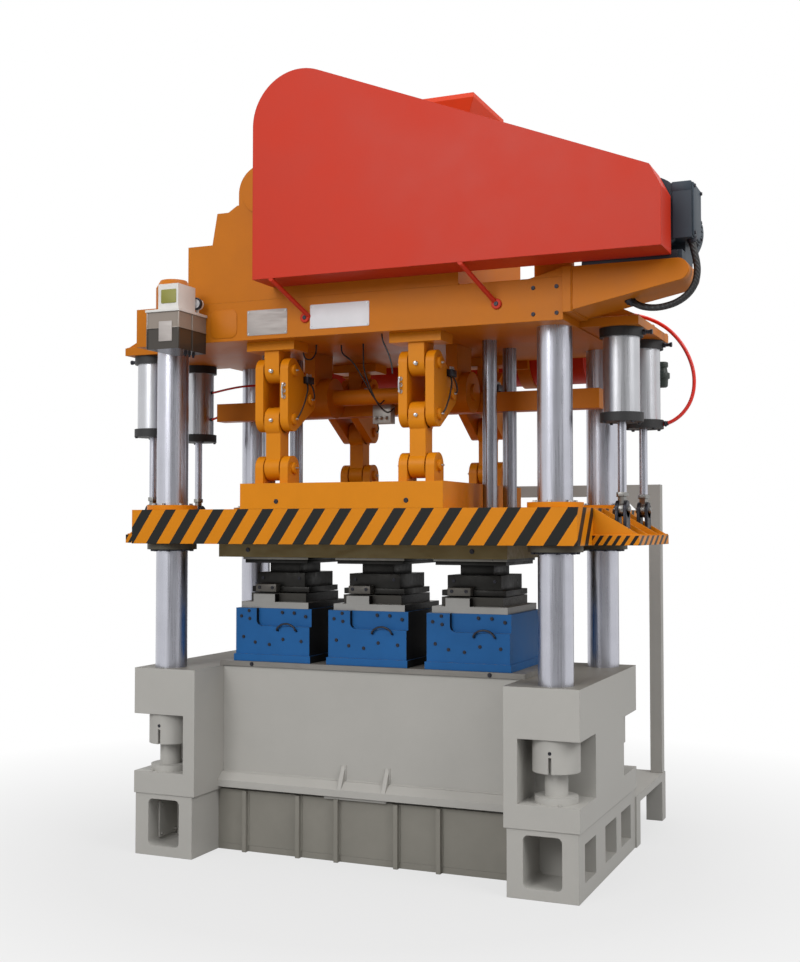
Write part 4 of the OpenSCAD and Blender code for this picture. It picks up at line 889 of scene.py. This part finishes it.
def weld_tree():
    """Geometry Nodes tree that lays a rippled bead along each line."""
    tree, inlet = begin_tree("Weld beads", (("Bead radius", "Float"),))
    lines = add_node(tree, "GeometryNodeMeshToCurve", {"Mesh": inlet["Geometry"]})
    even = add_node(tree, "GeometryNodeResampleCurve", {"Curve": lines.outputs["Curve"], "Length": WELD_STEP},
                    mode="LENGTH")
    ring = add_node(tree, "GeometryNodeCurvePrimitiveCircle",
                    {"Resolution": 7, "Radius": inlet["Bead radius"]})
    bead = add_node(tree, "GeometryNodeCurveToMesh", {
        "Curve": even.outputs["Curve"], "Profile Curve": ring.outputs["Curve"], "Fill Caps": True})
    ripple = add_node(tree, "ShaderNodeTexNoise", {"Scale": 1 / WELD_RIPPLE, "Detail": 1.0})
    swell = add_node(tree, "ShaderNodeMapRange", {
        "Value": ripple.outputs["Fac"], "From Min": 0.3, "From Max": 0.7, "To Min": -WELD_SWELL,
        "To Max": WELD_SWELL})
    normal = add_node(tree, "GeometryNodeInputNormal")
    push = add_node(tree, "ShaderNodeVectorMath", {
        0: normal.outputs["Normal"], "Scale": swell.outputs["Result"]}, operation="SCALE")
    rough = add_node(tree, "GeometryNodeSetPosition", {
        "Geometry": bead.outputs["Mesh"], "Offset": push.outputs["Vector"]})
    return end_tree(tree, inlet, rough.outputs["Geometry"])


def inner_corners(nodes, shortest):
    """Straight lines along the inner corners of some solids, where plates are welded together."""
    lines = []
    for node in nodes:
        form = bmesh.new()
        form.from_mesh(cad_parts[node].data)
        bmesh.ops.remove_doubles(form, verts=form.verts, dist=0.01 * MM)
        for e in form.edges:
            if len(e.link_faces) == 2 and not e.is_convex and e.calc_face_angle() > math.radians(WELD_ANGLE):
                if e.calc_length() > shortest:
                    lines.append([v.co.copy() for v in e.verts])
        form.free()
    return lines


def welds(name, lines, body, finish):
    """Lay weld beads along some lines and leave a plain mesh that rides on a body."""
    form = bmesh.new()
    for line in lines:
        ends = [form.verts.new(p) for p in line]
        for a, b in zip(ends, ends[1:]):
            form.edges.new((a, b))
    bmesh.ops.remove_doubles(form, verts=form.verts, dist=0.01 * MM)
    mesh = bpy.data.meshes.new(name)
    form.to_mesh(mesh)
    form.free()
    return settle(placed(name, mesh), bpy.data.node_groups.get("Weld beads") or weld_tree(), {
        "Bead radius": sizes().bead}, finish, body)


class PRESS_OT_welds(bpy.types.Operator):
    """Run weld beads along the inner corners of the bed, the crown and the slide"""
    bl_idname = "press.welds"
    bl_label = "Weld beads"

    def execute(self, context):
        welds("wall_welds", inner_corners(("lower_walls",), 0.1), "frame", "Dusty grey enamel with painted shade")
        welds("bed_welds", inner_corners(("bed_body",), 0.06), "frame", "Grey machine enamel")
        low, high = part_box("gearbox_housing")
        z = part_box("crown_beam")[1].z
        foot = [(low.x, -0.62, z), (low.x, 0.300, z), (high.x, 0.300, z), (high.x, -0.62, z)]
        lines = inner_corners(("cylinder_brackets", "motor_bracket"), 0.06)
        welds("crown_welds", [*lines, foot], "frame", "Dusty orange enamel with painted shade")
        welds("slide_welds", inner_corners(("slide_brackets",), 0.06), "slide", "Orange machine enamel")
        return {"FINISHED"}


class PRESS_OT_sign_plates(bpy.types.Operator):
    """Fix the bare sign plates and the round-cornered cover on the front of the crown"""
    bl_idname = "press.sign_plates"
    bl_label = "Sign plates"

    def execute(self, context):
        s = sizes()
        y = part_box("crown_beam")[0].y
        for name, finish, x0, x1, z0, z1 in (
                ("name_plate", "Etched plate", -0.468, -0.250, 2.562, 2.684),
                ("sign_plate", "White stoved plate", -0.127, 0.180, 2.574, 2.690)):
            form = bmesh.new()
            middle = Vector(((x0 + x1) / 2, y, (z0 + z1) / 2))
            panel(form, rounded(x1 - x0, z1 - z0, 6 * MM), middle, FRONT, s.plate)
            piece(name, form, finish, "frame", 0.5 * MM)
            corners = [(Vector((x, y - s.plate, z)), FRONT) for x in (x0 + 9 * MM, x1 - 9 * MM)
                       for z in (z0 + 9 * MM, z1 - 9 * MM)]
            socket_bolts(name + "_screws", corners, "frame", "Zinc plate", 0.3)
        form = bmesh.new()
        panel(form, rounded(0.150, 0.140, 0.034), Vector((-0.600, y, 2.628)), FRONT, 2.5 * MM)
        piece("access_cover", form, "Dusty orange enamel with painted shade", "frame", 1.2 * MM)
        return {"FINISHED"}


class PRESS_OT_foot_plates(bpy.types.Operator):
    """Close the bays behind the feet's front pockets with bolted plates, and fit the nuts' clamp screws"""
    bl_idname = "press.foot_plates"
    bl_label = "Foot plates"

    def execute(self, context):
        form = bmesh.new()
        places = []
        screws = []
        # The wall that a plate closes, the plate's thickness and its middle
        wall = 1.069
        thick = 9 * MM
        middle = Vector((0.0, -0.3775, 0.158))
        for side in SIDES:
            out = RIGHT * -side
            panel(form, rounded(0.161, 0.184, 8 * MM), middle + Vector((side * wall, 0.0, 0.0)), out, thick)
            for y in (-0.062, 0.062):
                for z in (-0.074, 0.074):
                    places.append((middle + Vector((side * (wall - thick), y, z)), out))
            for out in (FRONT, BACK):
                screws.append((Vector((side * COLUMNS[-1].x, out.y * 0.5395, 0.643)), out))
        piece("bay_plates", form, "Grey machine enamel", "frame", 1.5 * MM)
        hex_bolts("bay_plate_bolts", places, "frame", "Grey machine enamel", 0.5)
        socket_bolts("nut_clamp_screws", screws, "frame", scale=0.55)
        return {"FINISHED"}


class PRESS_OT_column_seals(bpy.types.Operator):
    """Fit the dark wiper rings under the slide"""
    bl_idname = "press.column_seals"
    bl_label = "Column seals"

    def execute(self, context):
        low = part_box("guide_collars")[0].z
        form = bmesh.new()
        for c in COLUMNS:
            turned(form, (c.x, c.y, low), DOWN, WIPER_RING, 48)
        piece("slide_wipers", form, "Blackened steel", "slide", 0.8 * MM)
        return {"FINISHED"}


# Screws on a mould box's front, as shares of its width from the left and of its height from the top
MOULD_SCREWS = (
    (0.18, 0.06), (0.19, 0.23), (0.075, 0.18), (0.61, 0.085), (0.77, 0.09), (0.925, 0.16), (0.106, 0.63),
    (0.267, 0.74), (0.46, 0.78), (0.645, 0.66), (0.89, 0.69))


class PRESS_OT_mould_fittings(bpy.types.Operator):
    """Fit each mould box with its screws and lifting handle"""
    bl_idname = "press.mould_fittings"
    bl_label = "Mould fittings"

    def execute(self, context):
        low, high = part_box("lower_moulds")
        # The raised front of a box: its width, its height and where it stands
        wide = 0.422
        tall = high.z - low.z - 0.036
        raised = low.y + 0.008
        handles = bmesh.new()
        places = []
        for middle in MOULDS:
            left = middle - wide / 2
            for side, out in ((1, FRONT), (-1, BACK)):
                for u, v in MOULD_SCREWS:
                    sunk = v < 0.37 and u > 0.27
                    y = side * (raised + (0.020 if sunk else 0.0))
                    places.append((Vector((left + u * wide, y, high.z - v * tall)), out))
                arc = []
                for i in range(9):
                    a = math.radians(15 + 150 * i / 8)
                    arc.append((left + 0.70 * wide - 0.055 * math.cos(a), side * (raised - 0.012),
                                high.z - 0.5 * tall + 0.042 * math.sin(a)))
                arc.insert(0, (arc[0][0], side * (raised + 0.004), arc[0][2] - 0.004))
                arc.append((arc[-1][0], side * (raised + 0.004), arc[-1][2] - 0.004))
                pipe(handles, arc, 5 * MM, 10, 4)
        socket_bolts("mould_screws", places, "frame", scale=0.6)
        piece("mould_handles", handles, "Blackened steel", "frame")
        return {"FINISHED"}


# Steps of a die from the top down: half width, half depth and height, where 0 stands for the rest
DIE_STEPS = (
    (0.188, 0.225, 0.016), (0.180, 0.216, 0.018), (0.086, 0.120, 0.050), (0.138, 0.162, 0.072),
    (0.165, 0.168, 0.0))


class PRESS_OT_upper_dies(bpy.types.Operator):
    """Build the stepped dies under the slide, each with its guide blocks and screws"""
    bl_idname = "press.upper_dies"
    bl_label = "Upper dies"

    def execute(self, context):
        low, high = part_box("upper_dies")
        steps = bmesh.new()
        guides = bmesh.new()
        places = []
        for middle in MOULDS:
            top = high.z
            for across, deep, tall in DIE_STEPS:
                foot = top - tall if tall else low.z - 8 * MM
                box(steps, (middle - across, -deep, foot), (middle + across, deep, top + 0.5 * MM))
                top = foot
            for out in (FRONT, BACK):
                near = out.y * 0.160
                far = out.y * 0.212
                box(guides, (middle - 0.120, min(near, far), low.z - 6 * MM),
                    (middle - 0.002, max(near, far), low.z + 0.033))
                for across in (-0.105, 0.105):
                    places.append((Vector((middle + across, out.y * 0.162, low.z + 0.064)), out))
                for across in (-0.098, -0.024):
                    places.append((Vector((middle + across, far, low.z + 0.016)), out))
        dies = piece("die_steps", steps, "Black oiled tool steel", "slide", 1.5 * MM)
        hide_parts("upper_dies")
        piece("die_guides", guides, "Dull tool steel", "slide", 1.5 * MM)
        socket_bolts("die_screws", places, "slide", scale=0.6)
        return {"FINISHED"}


class PRESS_OT_clevises(bpy.types.Operator):
    """Build the balance rods, each on a forked clevis with its eye and pin"""
    bl_idname = "press.clevises"
    bl_label = "Rods and clevises"

    def execute(self, context):
        low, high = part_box("balance_rods")
        forks = bmesh.new()
        bars = bmesh.new()
        eyes = bmesh.new()
        # Height of the pins
        pin = 1.720
        for x, y in CYLINDERS:
            for side in SIDES:
                near = x + side * 0.012
                far = x + side * 0.027
                box(forks, (min(near, far), y - 0.040, low.z), (max(near, far), y + 0.040, pin))
                rod(forks, (near, y, pin), (far, y, pin), 0.0402, sides=32)
            box(forks, (x - 0.036, y - 0.046, low.z), (x + 0.036, y + 0.046, low.z + 0.014))
            rod(eyes, (x - 0.011, y, pin), (x + 0.011, y, pin), 0.034, sides=32)
            rod(eyes, (x - 0.038, y, pin), (x + 0.038, y, pin), 0.014, sides=20)
            turned(eyes, (x, y, pin + 0.028), UP, CLEVIS_NUT, 6)
            rod(bars, (x, y, pin + 0.070), (x, y, high.z), 0.020, sides=36)
        ends = piece("rod_forks", forks, "Blackened steel", "slide", 2 * MM)
        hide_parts("balance_rods")
        piece("rod_eyes", eyes, "Machined steel", "slide", 1 * MM)
        piece("rod_bars", bars, "Bright chrome", "slide")
        return {"FINISHED"}


class PRESS_OT_lubricator(bpy.types.Operator):
    """Finish the lubricator: bare label, control panel, gauge, moulded ribs and outlets"""
    bl_idname = "press.lubricator"
    bl_label = "Lubricator"

    def execute(self, context):
        low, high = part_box("lubricator_tank")
        form = bmesh.new()
        panel(form, rounded(0.073, 0.096, 4 * MM), Vector((-0.772, low.y, 2.570)), FRONT, 4.5 * MM)
        piece("lubricator_label", form, "Etched plate", "frame", 0.3 * MM)
        front = low.y + 0.008
        form = bmesh.new()
        panel(form, rounded(0.084, 0.066, 5 * MM), Vector((-0.761, front, 2.738)), FRONT, 2 * MM)
        piece("lubricator_panel", form, "Olive panel", "frame", 0.5 * MM)
        form = bmesh.new()
        for x in (low.x, high.x):
            for y in (low.y, low.y + 0.12):
                rod(form, (x, y, low.z + 0.004), (x, y, high.z), 5 * MM, sides=10)
        box(form, (low.x - 3 * MM, low.y - 3 * MM, 2.583), (high.x + 3 * MM, high.y, 2.589))
        piece("lubricator_frame", form, "Smoky reservoir plastic", "frame", 0.8 * MM)
        form = bmesh.new()
        dial = Vector((high.x - 0.014, -0.681, high.z + 0.061))
        turned(form, dial, FRONT, GAUGE_CASE, 36)
        piece("gauge_bezel", form, "Blackened steel", "frame")
        form = bmesh.new()
        turned(form, dial, FRONT, GAUGE_DIAL, 36)
        piece("gauge_face", form, "White stoved plate", "frame")
        form = bmesh.new()
        for i in range(3):
            spot = Vector((high.x - 0.05, -0.66 - 0.035 * i, low.z))
            turned(form, spot, DOWN, GREASE_OUTLET, 6)
        piece("lubricator_outlets", form, "Blackened steel", "frame")
        return {"FINISHED"}


# Routes of the lubrication pipes under the crown
LUBE_TUBES = (
    ((0.214, -0.560, 2.546), (0.222, -0.560, 2.505), (0.243, -0.556, 2.457), (0.264, -0.560, 2.400),
     (0.272, -0.566, 2.352)),
    ((0.000, -0.300, 2.546), (0.002, -0.300, 2.470), (0.005, -0.298, 2.412), (0.027, -0.280, 2.330),
     (0.048, -0.230, 2.250), (0.056, -0.130, 2.215), (0.058, -0.040, 2.246)),
    ((-0.120, -0.300, 2.546), (-0.112, -0.300, 2.500), (-0.060, -0.296, 2.455), (-0.010, -0.280, 2.373),
     (0.010, -0.220, 2.300), (0.006, -0.120, 2.262), (0.000, -0.046, 2.284)),
    ((-0.270, -0.420, 2.546), (-0.268, -0.424, 2.505), (-0.262, -0.412, 2.470), (-0.246, -0.380, 2.468),
     (-0.232, -0.360, 2.500), (-0.230, -0.355, 2.546)))
# The toggles' main pins and the pins of their arms: how far from the middle, and their heights
PIN_Y = 0.48
ARM_Y = 0.31
TOP_PIN = 2.404
KNUCKLE_PIN = 2.165
LOW_PIN = 1.926
ARM_PIN = 2.274


class PRESS_OT_toggle_lubrication(bpy.types.Operator):
    """Fit pin keepers, grease nipples, distributor blocks and tubes to the toggles"""
    bl_idname = "press.toggle_lubrication"
    bl_label = "Toggle lubrication"

    def execute(self, context):
        s = sizes()
        for end, way in (("front", -1), ("rear", 1)):
            links = end + "_upper_links"
            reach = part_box(links)[1].x - TOGGLES[1]
            y = way * PIN_Y
            arm = way * ARM_Y
            for body, spots, name in (
                    ("frame", ((y, TOP_PIN),), "top"), (links, ((y, KNUCKLE_PIN), (arm, ARM_PIN)), "link"),
                    ("slide", ((y, LOW_PIN),), "low")):
                caps = bmesh.new()
                tips = bmesh.new()
                for x in TOGGLES:
                    for side in SIDES:
                        out = RIGHT * side
                        for at, z in spots:
                            face = Vector((x + side * reach, at, z))
                            turned(caps, face, out, PIN_KEEPER, 28)
                            turned(tips, face + 0.006 * out, out, GREASE_NIPPLE, 12)
                piece(f"{end}_{name}_keepers", caps, "Orange machine enamel", body)
                piece(f"{end}_{name}_nipples", tips, "Zinc plate", body)
            blocks = bmesh.new()
            fittings = bmesh.new()
            tubes = bmesh.new()
            nipples = bmesh.new()
            eyes = bmesh.new()
            out = Vector((0.0, way, 0.0))
            eye = max(abs(corner.y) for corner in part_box(end + "_lower_links"))
            for x in TOGGLES:
                face = x + 0.090
                near = way * 0.345
                box(blocks, (face - 1 * MM, near - 0.034, 2.350), (face + 0.026, near + 0.034, 2.384))
                for k in (-1, 0, 1):
                    place = Vector((face + 0.013, near + 0.02 * k, 2.384))
                    turned(fittings, place, UP, TUBE_NUT, 6)
                inner = x + (0.068 if x < 0 else -0.078)
                for z in (2.330, 2.300, 2.270):
                    turned(fittings, (inner, y + 0.002 * way, z), out, TUBE_STEM, 6)
                pipe(fittings, (
                    (inner, y + 0.072 * way, 2.334), (inner, y + 0.080 * way, 2.318),
                    (inner, y + 0.080 * way, 2.284), (inner, y + 0.072 * way, 2.266)), 5 * MM, 8, 4)
                for route in (
                        ((0.013, near - 0.02 * way, 2.352), (0.024, near - 0.024 * way, 2.330),
                         (0.030, way * 0.318, 2.300), (0.026, arm, 2.282), (0.018, arm, ARM_PIN)),
                        ((0.013, near + 0.02 * way, 2.352), (0.026, near + 0.035 * way, 2.320),
                         (0.032, way * 0.425, 2.250), (0.030, way * 0.470, 2.190), (0.018, y, KNUCKLE_PIN))):
                    pipe(tubes, [(face + proud, at, z) for proud, at, z in route], s.lube_pipe, 8, 4)
                turned(nipples, (x, way * 0.538, 2.398), out, GREASE_NIPPLE, 12, 1.7)
                turned(eyes, (x, way * (eye - 1 * MM), 2.158), out, GREASE_NIPPLE, 12, 1.5)
            piece(f"{end}_eye_nipples", eyes, "Zinc plate", end + "_lower_links")
            piece(f"{end}_link_tubes", tubes, "Black rubber", links)
            piece(f"{end}_distributors", blocks, "Blackened steel", links, 1.5 * MM)
            piece(f"{end}_lube_fittings", fittings, "Zinc plate", links)
            piece(f"{end}_grease_nipples", nipples, "Zinc plate", "frame")
        form = bmesh.new()
        for route in LUBE_TUBES:
            pipe(form, route, s.lube_pipe, 8, 6)
        piece("crown_lube_tubes", form, "Black rubber", "frame")
        return {"FINISHED"}


class PRESS_OT_air_fittings(bpy.types.Operator):
    """Fit the valve block, the cylinders' unions and nuts, the regulator, and the tank's seams and valves"""
    bl_idname = "press.air_fittings"
    bl_label = "Air fittings"

    def execute(self, context):
        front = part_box("cross_beam")[0].y
        form = bmesh.new()
        box(form, (-0.107, front - 0.058, 2.176), (-0.005, front + 1 * MM, 2.272))
        box(form, (-0.092, front - 0.048, 2.270), (-0.020, front - 0.008, 2.306))
        for x in (-0.085, -0.056, -0.027):
            turned(form, (x, front - 0.057, 2.205), FRONT, VALVE_PORT, 6)
        piece("valve_block", form, "Cast aluminium", "frame", 2 * MM)
        low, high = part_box("balance_cylinders")
        unions = bmesh.new()
        nuts = []
        for x, y in CYLINDERS:
            out = RIGHT * math.copysign(1.0, x)
            turned(unions, Vector((x, y, high.z - 0.021)) + out * 0.098, out, PIPE_UNION, 12)
            nuts += circle((x, y, low.z), 0.091, 4, DOWN, 45)
        piece("cylinder_unions", unions, "Blackened steel", "frame")
        hex_bolts("cylinder_nuts", nuts, "frame", "Blackened steel", 0.55)
        form = bmesh.new()
        centre = Vector((1.3485, 0.316, 0.0))
        turned(form, centre + UP * 2.330, UP, REGULATOR, 28)
        rod(form, centre + UP * 2.387, (1.3240, 0.2880, 2.387), 0.020, sides=16)
        piece("air_regulator", form, "Dark green casting", "frame", 0.8 * MM)
        form = bmesh.new()
        low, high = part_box("air_tank")
        middle = (low + high) / 2
        radius = (high.z - low.z) / 2
        for x in (-0.85, -0.02, 0.85):
            turned(form, (x, middle.y, middle.z), RIGHT, TANK_SEAM, 64, radius=radius)
        piece("tank_seams", form, "Red machine enamel", "frame")
        form = bmesh.new()
        turned(form, (-0.1, middle.y, low.z + 1 * MM), DOWN, TANK_DRAIN, 12)
        turned(form, (0.3, middle.y, high.z - 1 * MM), UP, TANK_RELIEF, 12)
        piece("tank_valves", form, "Zinc plate", "frame")
        return {"FINISHED"}


class PRESS_OT_drive_fittings(bpy.types.Operator):
    """Fit the motor's lid, fan grille, slide rails and tension screw, and the lugs of the guard's struts"""
    bl_idname = "press.drive_fittings"
    bl_label = "Drive fittings"

    def execute(self, context):
        form = bmesh.new()
        box(form, (1.580, -0.621, 3.055), (1.664, -0.431, 3.098))
        box(form, (1.663, -0.616, 2.864), (1.673, -0.436, 3.092))
        piece("terminal_lid", form, "Slate motor enamel", "frame", 5 * MM)
        places = [(Vector((1.673, y, z)), RIGHT) for y in (-0.602, -0.450) for z in (2.878, 3.078)]
        centre = Vector((1.470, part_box("motor")[1].y, 2.970))
        form = bmesh.new()
        for radius in (0.045, 0.075, 0.105, 0.135):
            turned(form, centre, BACK, GRILLE_WIRE, 48, radius=radius)
        for i in range(6):
            a = math.radians(60 * i)
            tip = Vector((math.cos(a), 0.0, math.sin(a)))
            rod(form, centre + tip * 0.02 + BACK * MM, centre + tip * 0.15 + BACK * MM, 3.5 * MM, sides=8)
        turned(form, centre, BACK, GRILLE_HUB, 32)
        piece("fan_grille", form, "Slate motor enamel", "frame")
        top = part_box("motor_bracket")[1].z
        form = bmesh.new()
        for y0, y1 in ((-0.623, -0.604), (-0.375, -0.357)):
            box(form, (1.190, y0, top - 1 * MM), (1.604, y1, top + 0.034))
        box(form, (1.205, -0.604, top - 1 * MM), (1.228, -0.375, top + 0.028))
        rod(form, (1.216, -0.49, top + 0.016), (1.345, -0.49, top + 0.016), 9 * MM, sides=16)
        piece("motor_slide_rails", form, "Blackened steel", "frame", 1.5 * MM)
        places += [(Vector((x, y, top + 0.034)), UP) for x in (1.25, 1.42, 1.55) for y in (-0.6135, -0.366)]
        hex_bolts("motor_bolts", places, "frame", "Blackened steel", 0.55)
        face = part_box("crown_beam")[0].y
        form = bmesh.new()
        places = []
        for x in (-0.153, 0.803):
            turned(form, (x, face + 1 * MM, 2.631), FRONT, STRUT_LUG, 28)
            places.append((Vector((x, face - 0.010, 2.631)), FRONT))
        piece("strut_lugs", form, "Red machine enamel", "frame")
        socket_bolts("strut_bolts", places, "frame", scale=0.7)
        return {"FINISHED"}


# The world's strength on the object, and the floor's grey and the distances over which it goes white
AMBIENT = 0.44
FLOOR_GREY = 0.36
FLOOR_FADE = (1.5, 4.0)
# Grey cards that only gloss sees: two ends on the floor, and strength
CARD_HEIGHT = 5.0
CARDS = (("near_card", (-0.6, -5.4), (5.2, -1.6), 0.40), ("far_card", (2.4, 5.0), (-1.6, 5.4), 0.12))
# Soft lamps: place, power in watts and width, all aimed at one point
LAMPS = (
    ("key_lamp", (-1.5, -9.5, 6.5), 560.0, 5.0), ("fill_lamp", (6.5, -2.5, 6.0), 285.0, 4.0),
    ("top_lamp", (0.0, 0.5, 8.5), 280.0, 5.0))
LAMP_AIM = Vector((0.0, 0.0, 1.6))
# The camera of the photograph: place, turn in degrees, focal length and sensor in millimetres
CAMERA_PLACE = (2.61846, -5.99505, 1.63552)
CAMERA_TURN = (92.096, 0.0, 23.035)
FOCAL_LENGTH = 47.785
SENSOR_WIDTH = 36.0


class PRESS_OT_stage(bpy.types.Operator):
    """Set the pale floor, the soft lamps, the white surround and the camera"""
    bl_idname = "press.stage"
    bl_label = "Stage"

    def execute(self, context):
        scene = context.scene
        scene.view_settings.view_transform = "Standard"
        world = bpy.data.worlds.new("White studio")
        scene.world = world
        tree = bare_tree(world)
        path = add_node(tree, "ShaderNodeLightPath").outputs
        seen = add_node(tree, "ShaderNodeMath", {0: path["Is Camera Ray"], 1: path["Is Glossy Ray"]},
                        operation="MAXIMUM")
        clear = add_node(tree, "ShaderNodeMath", {0: seen.outputs[0], 1: path["Is Transmission Ray"]},
                         operation="MAXIMUM")
        level = add_node(tree, "ShaderNodeMapRange", {
            "Value": clear.outputs[0], "From Min": 0.0, "From Max": 1.0, "To Min": AMBIENT, "To Max": 1.0})
        glow = add_node(tree, "ShaderNodeBackground", {
            "Color": (1.0, 1.0, 1.0, 1.0), "Strength": level.outputs["Result"]})
        add_node(tree, "ShaderNodeOutputWorld", {"Surface": glow.outputs["Background"]})
        pale = bpy.data.materials.new("Pale studio floor")
        tree = bare_tree(pale)
        place = add_node(tree, "ShaderNodeTexCoord").outputs["Object"]
        away = add_node(tree, "ShaderNodeVectorMath", {0: place}, operation="LENGTH")
        far = add_node(tree, "ShaderNodeMapRange", {
            "Value": away.outputs["Value"], "From Min": FLOOR_FADE[0], "From Max": FLOOR_FADE[1],
            "To Min": 0.7, "To Max": 1.0})
        matt = add_node(tree, "ShaderNodeBsdfDiffuse", {"Color": (FLOOR_GREY, FLOOR_GREY, FLOOR_GREY, 1.0)})
        white = add_node(tree, "ShaderNodeEmission", {"Strength": 1.0})
        path = add_node(tree, "ShaderNodeLightPath").outputs
        seen = add_node(tree, "ShaderNodeMath", {0: path["Is Camera Ray"], 1: path["Is Glossy Ray"]},
                        operation="MAXIMUM")
        fade = add_node(tree, "ShaderNodeMath", {0: far.outputs["Result"], 1: seen.outputs[0]},
                        operation="MULTIPLY")
        mixed = add_node(tree, "ShaderNodeMixShader", {
            0: fade.outputs[0], 1: matt.outputs["BSDF"], 2: white.outputs["Emission"]})
        add_node(tree, "ShaderNodeOutputMaterial", {"Surface": mixed.outputs["Shader"]})
        form = bmesh.new()
        bmesh.ops.create_grid(form, x_segments=1, y_segments=1, size=60.0,
                              matrix=Matrix.Translation((0.0, 0.0, -0.5 * MM)))
        mesh = bpy.data.meshes.new("studio_floor")
        form.to_mesh(mesh)
        form.free()
        mesh.materials.append(pale)
        floor = placed("studio_floor", mesh)
        # The cards give the chrome its upright bands
        for name, start, end, level in CARDS:
            card = bpy.data.materials.new(name)
            tree = bare_tree(card)
            dim = add_node(tree, "ShaderNodeEmission", {"Strength": level})
            add_node(tree, "ShaderNodeOutputMaterial", {"Surface": dim.outputs["Emission"]})
            mesh = bpy.data.meshes.new(name)
            corners = [(*start, 0.0), (*end, 0.0), (*end, CARD_HEIGHT), (*start, CARD_HEIGHT)]
            mesh.from_pydata(corners, [], [(0, 1, 2, 3)])
            mesh.materials.append(card)
            holder = placed(name, mesh)
            holder.visible_camera = False
            holder.visible_diffuse = False
            holder.visible_shadow = False
            holder.visible_transmission = False
        for name, spot, power, width in LAMPS:
            lamp = bpy.data.lights.new(name, "AREA")
            lamp.energy = power
            lamp.size = width
            holder = placed(name, lamp)
            holder.location = spot
            aim = LAMP_AIM - Vector(spot)
            holder.rotation_euler = aim.to_track_quat("-Z", "Y").to_euler()
        lens = bpy.data.cameras.new("photo_camera")
        lens.lens = FOCAL_LENGTH
        lens.sensor_width = SENSOR_WIDTH
        camera = placed("photo_camera", lens)
        camera.location = CAMERA_PLACE
        camera.rotation_euler = [math.radians(turn) for turn in CAMERA_TURN]
        scene.camera = camera
        return {"FINISHED"}


OPERATORS = (
    PRESS_OT_finishes, PRESS_OT_stage, PRESS_OT_cords, PRESS_OT_fasteners, PRESS_OT_welds,
    PRESS_OT_sign_plates, PRESS_OT_foot_plates, PRESS_OT_column_seals, PRESS_OT_mould_fittings,
    PRESS_OT_upper_dies, PRESS_OT_clevises, PRESS_OT_lubricator, PRESS_OT_toggle_lubrication,
    PRESS_OT_air_fittings, PRESS_OT_drive_fittings)


class PRESS_PT_sidebar(bpy.types.Panel):
    """Lists the steps that dress the press"""
    bl_idname = "PRESS_PT_sidebar"
    bl_label = "Tile press"
    bl_space_type = "VIEW_3D"
    bl_region_type = "UI"
    bl_category = "Tile Press"

    def draw(self, context):
        for operator in OPERATORS:
            self.layout.operator(operator.bl_idname)
        for group in (context.scene.press_sizes, context.scene.press_colours):
            for name in group.__annotations__:
                self.layout.prop(group, name)


CLASSES = (PressSizes, PressColours, *OPERATORS, PRESS_PT_sidebar)


def register():
    """Add the classes and the scene's properties."""
    for kind in CLASSES:
        bpy.utils.register_class(kind)
    bpy.types.Scene.press_sizes = bpy.props.PointerProperty(type=PressSizes)
    bpy.types.Scene.press_colours = bpy.props.PointerProperty(type=PressColours)


def unregister():
    """Take the classes and the scene's properties away."""
    del bpy.types.Scene.press_colours
    del bpy.types.Scene.press_sizes
    for kind in reversed(CLASSES):
        bpy.utils.unregister_class(kind)


def main():
    """Dress the press."""
    register()
    bpy.ops.press.finishes()
    bpy.ops.press.stage()
    bpy.ops.press.cords()
    bpy.ops.press.fasteners()
    bpy.ops.press.welds()
    bpy.ops.press.sign_plates()
    bpy.ops.press.foot_plates()
    bpy.ops.press.column_seals()
    bpy.ops.press.mould_fittings()
    bpy.ops.press.upper_dies()
    bpy.ops.press.clevises()
    bpy.ops.press.lubricator()
    bpy.ops.press.toggle_lubrication()
    bpy.ops.press.air_fittings()
    bpy.ops.press.drive_fittings()
    bpy.context.view_layer.update()


if __name__ == "__main__":
    main()
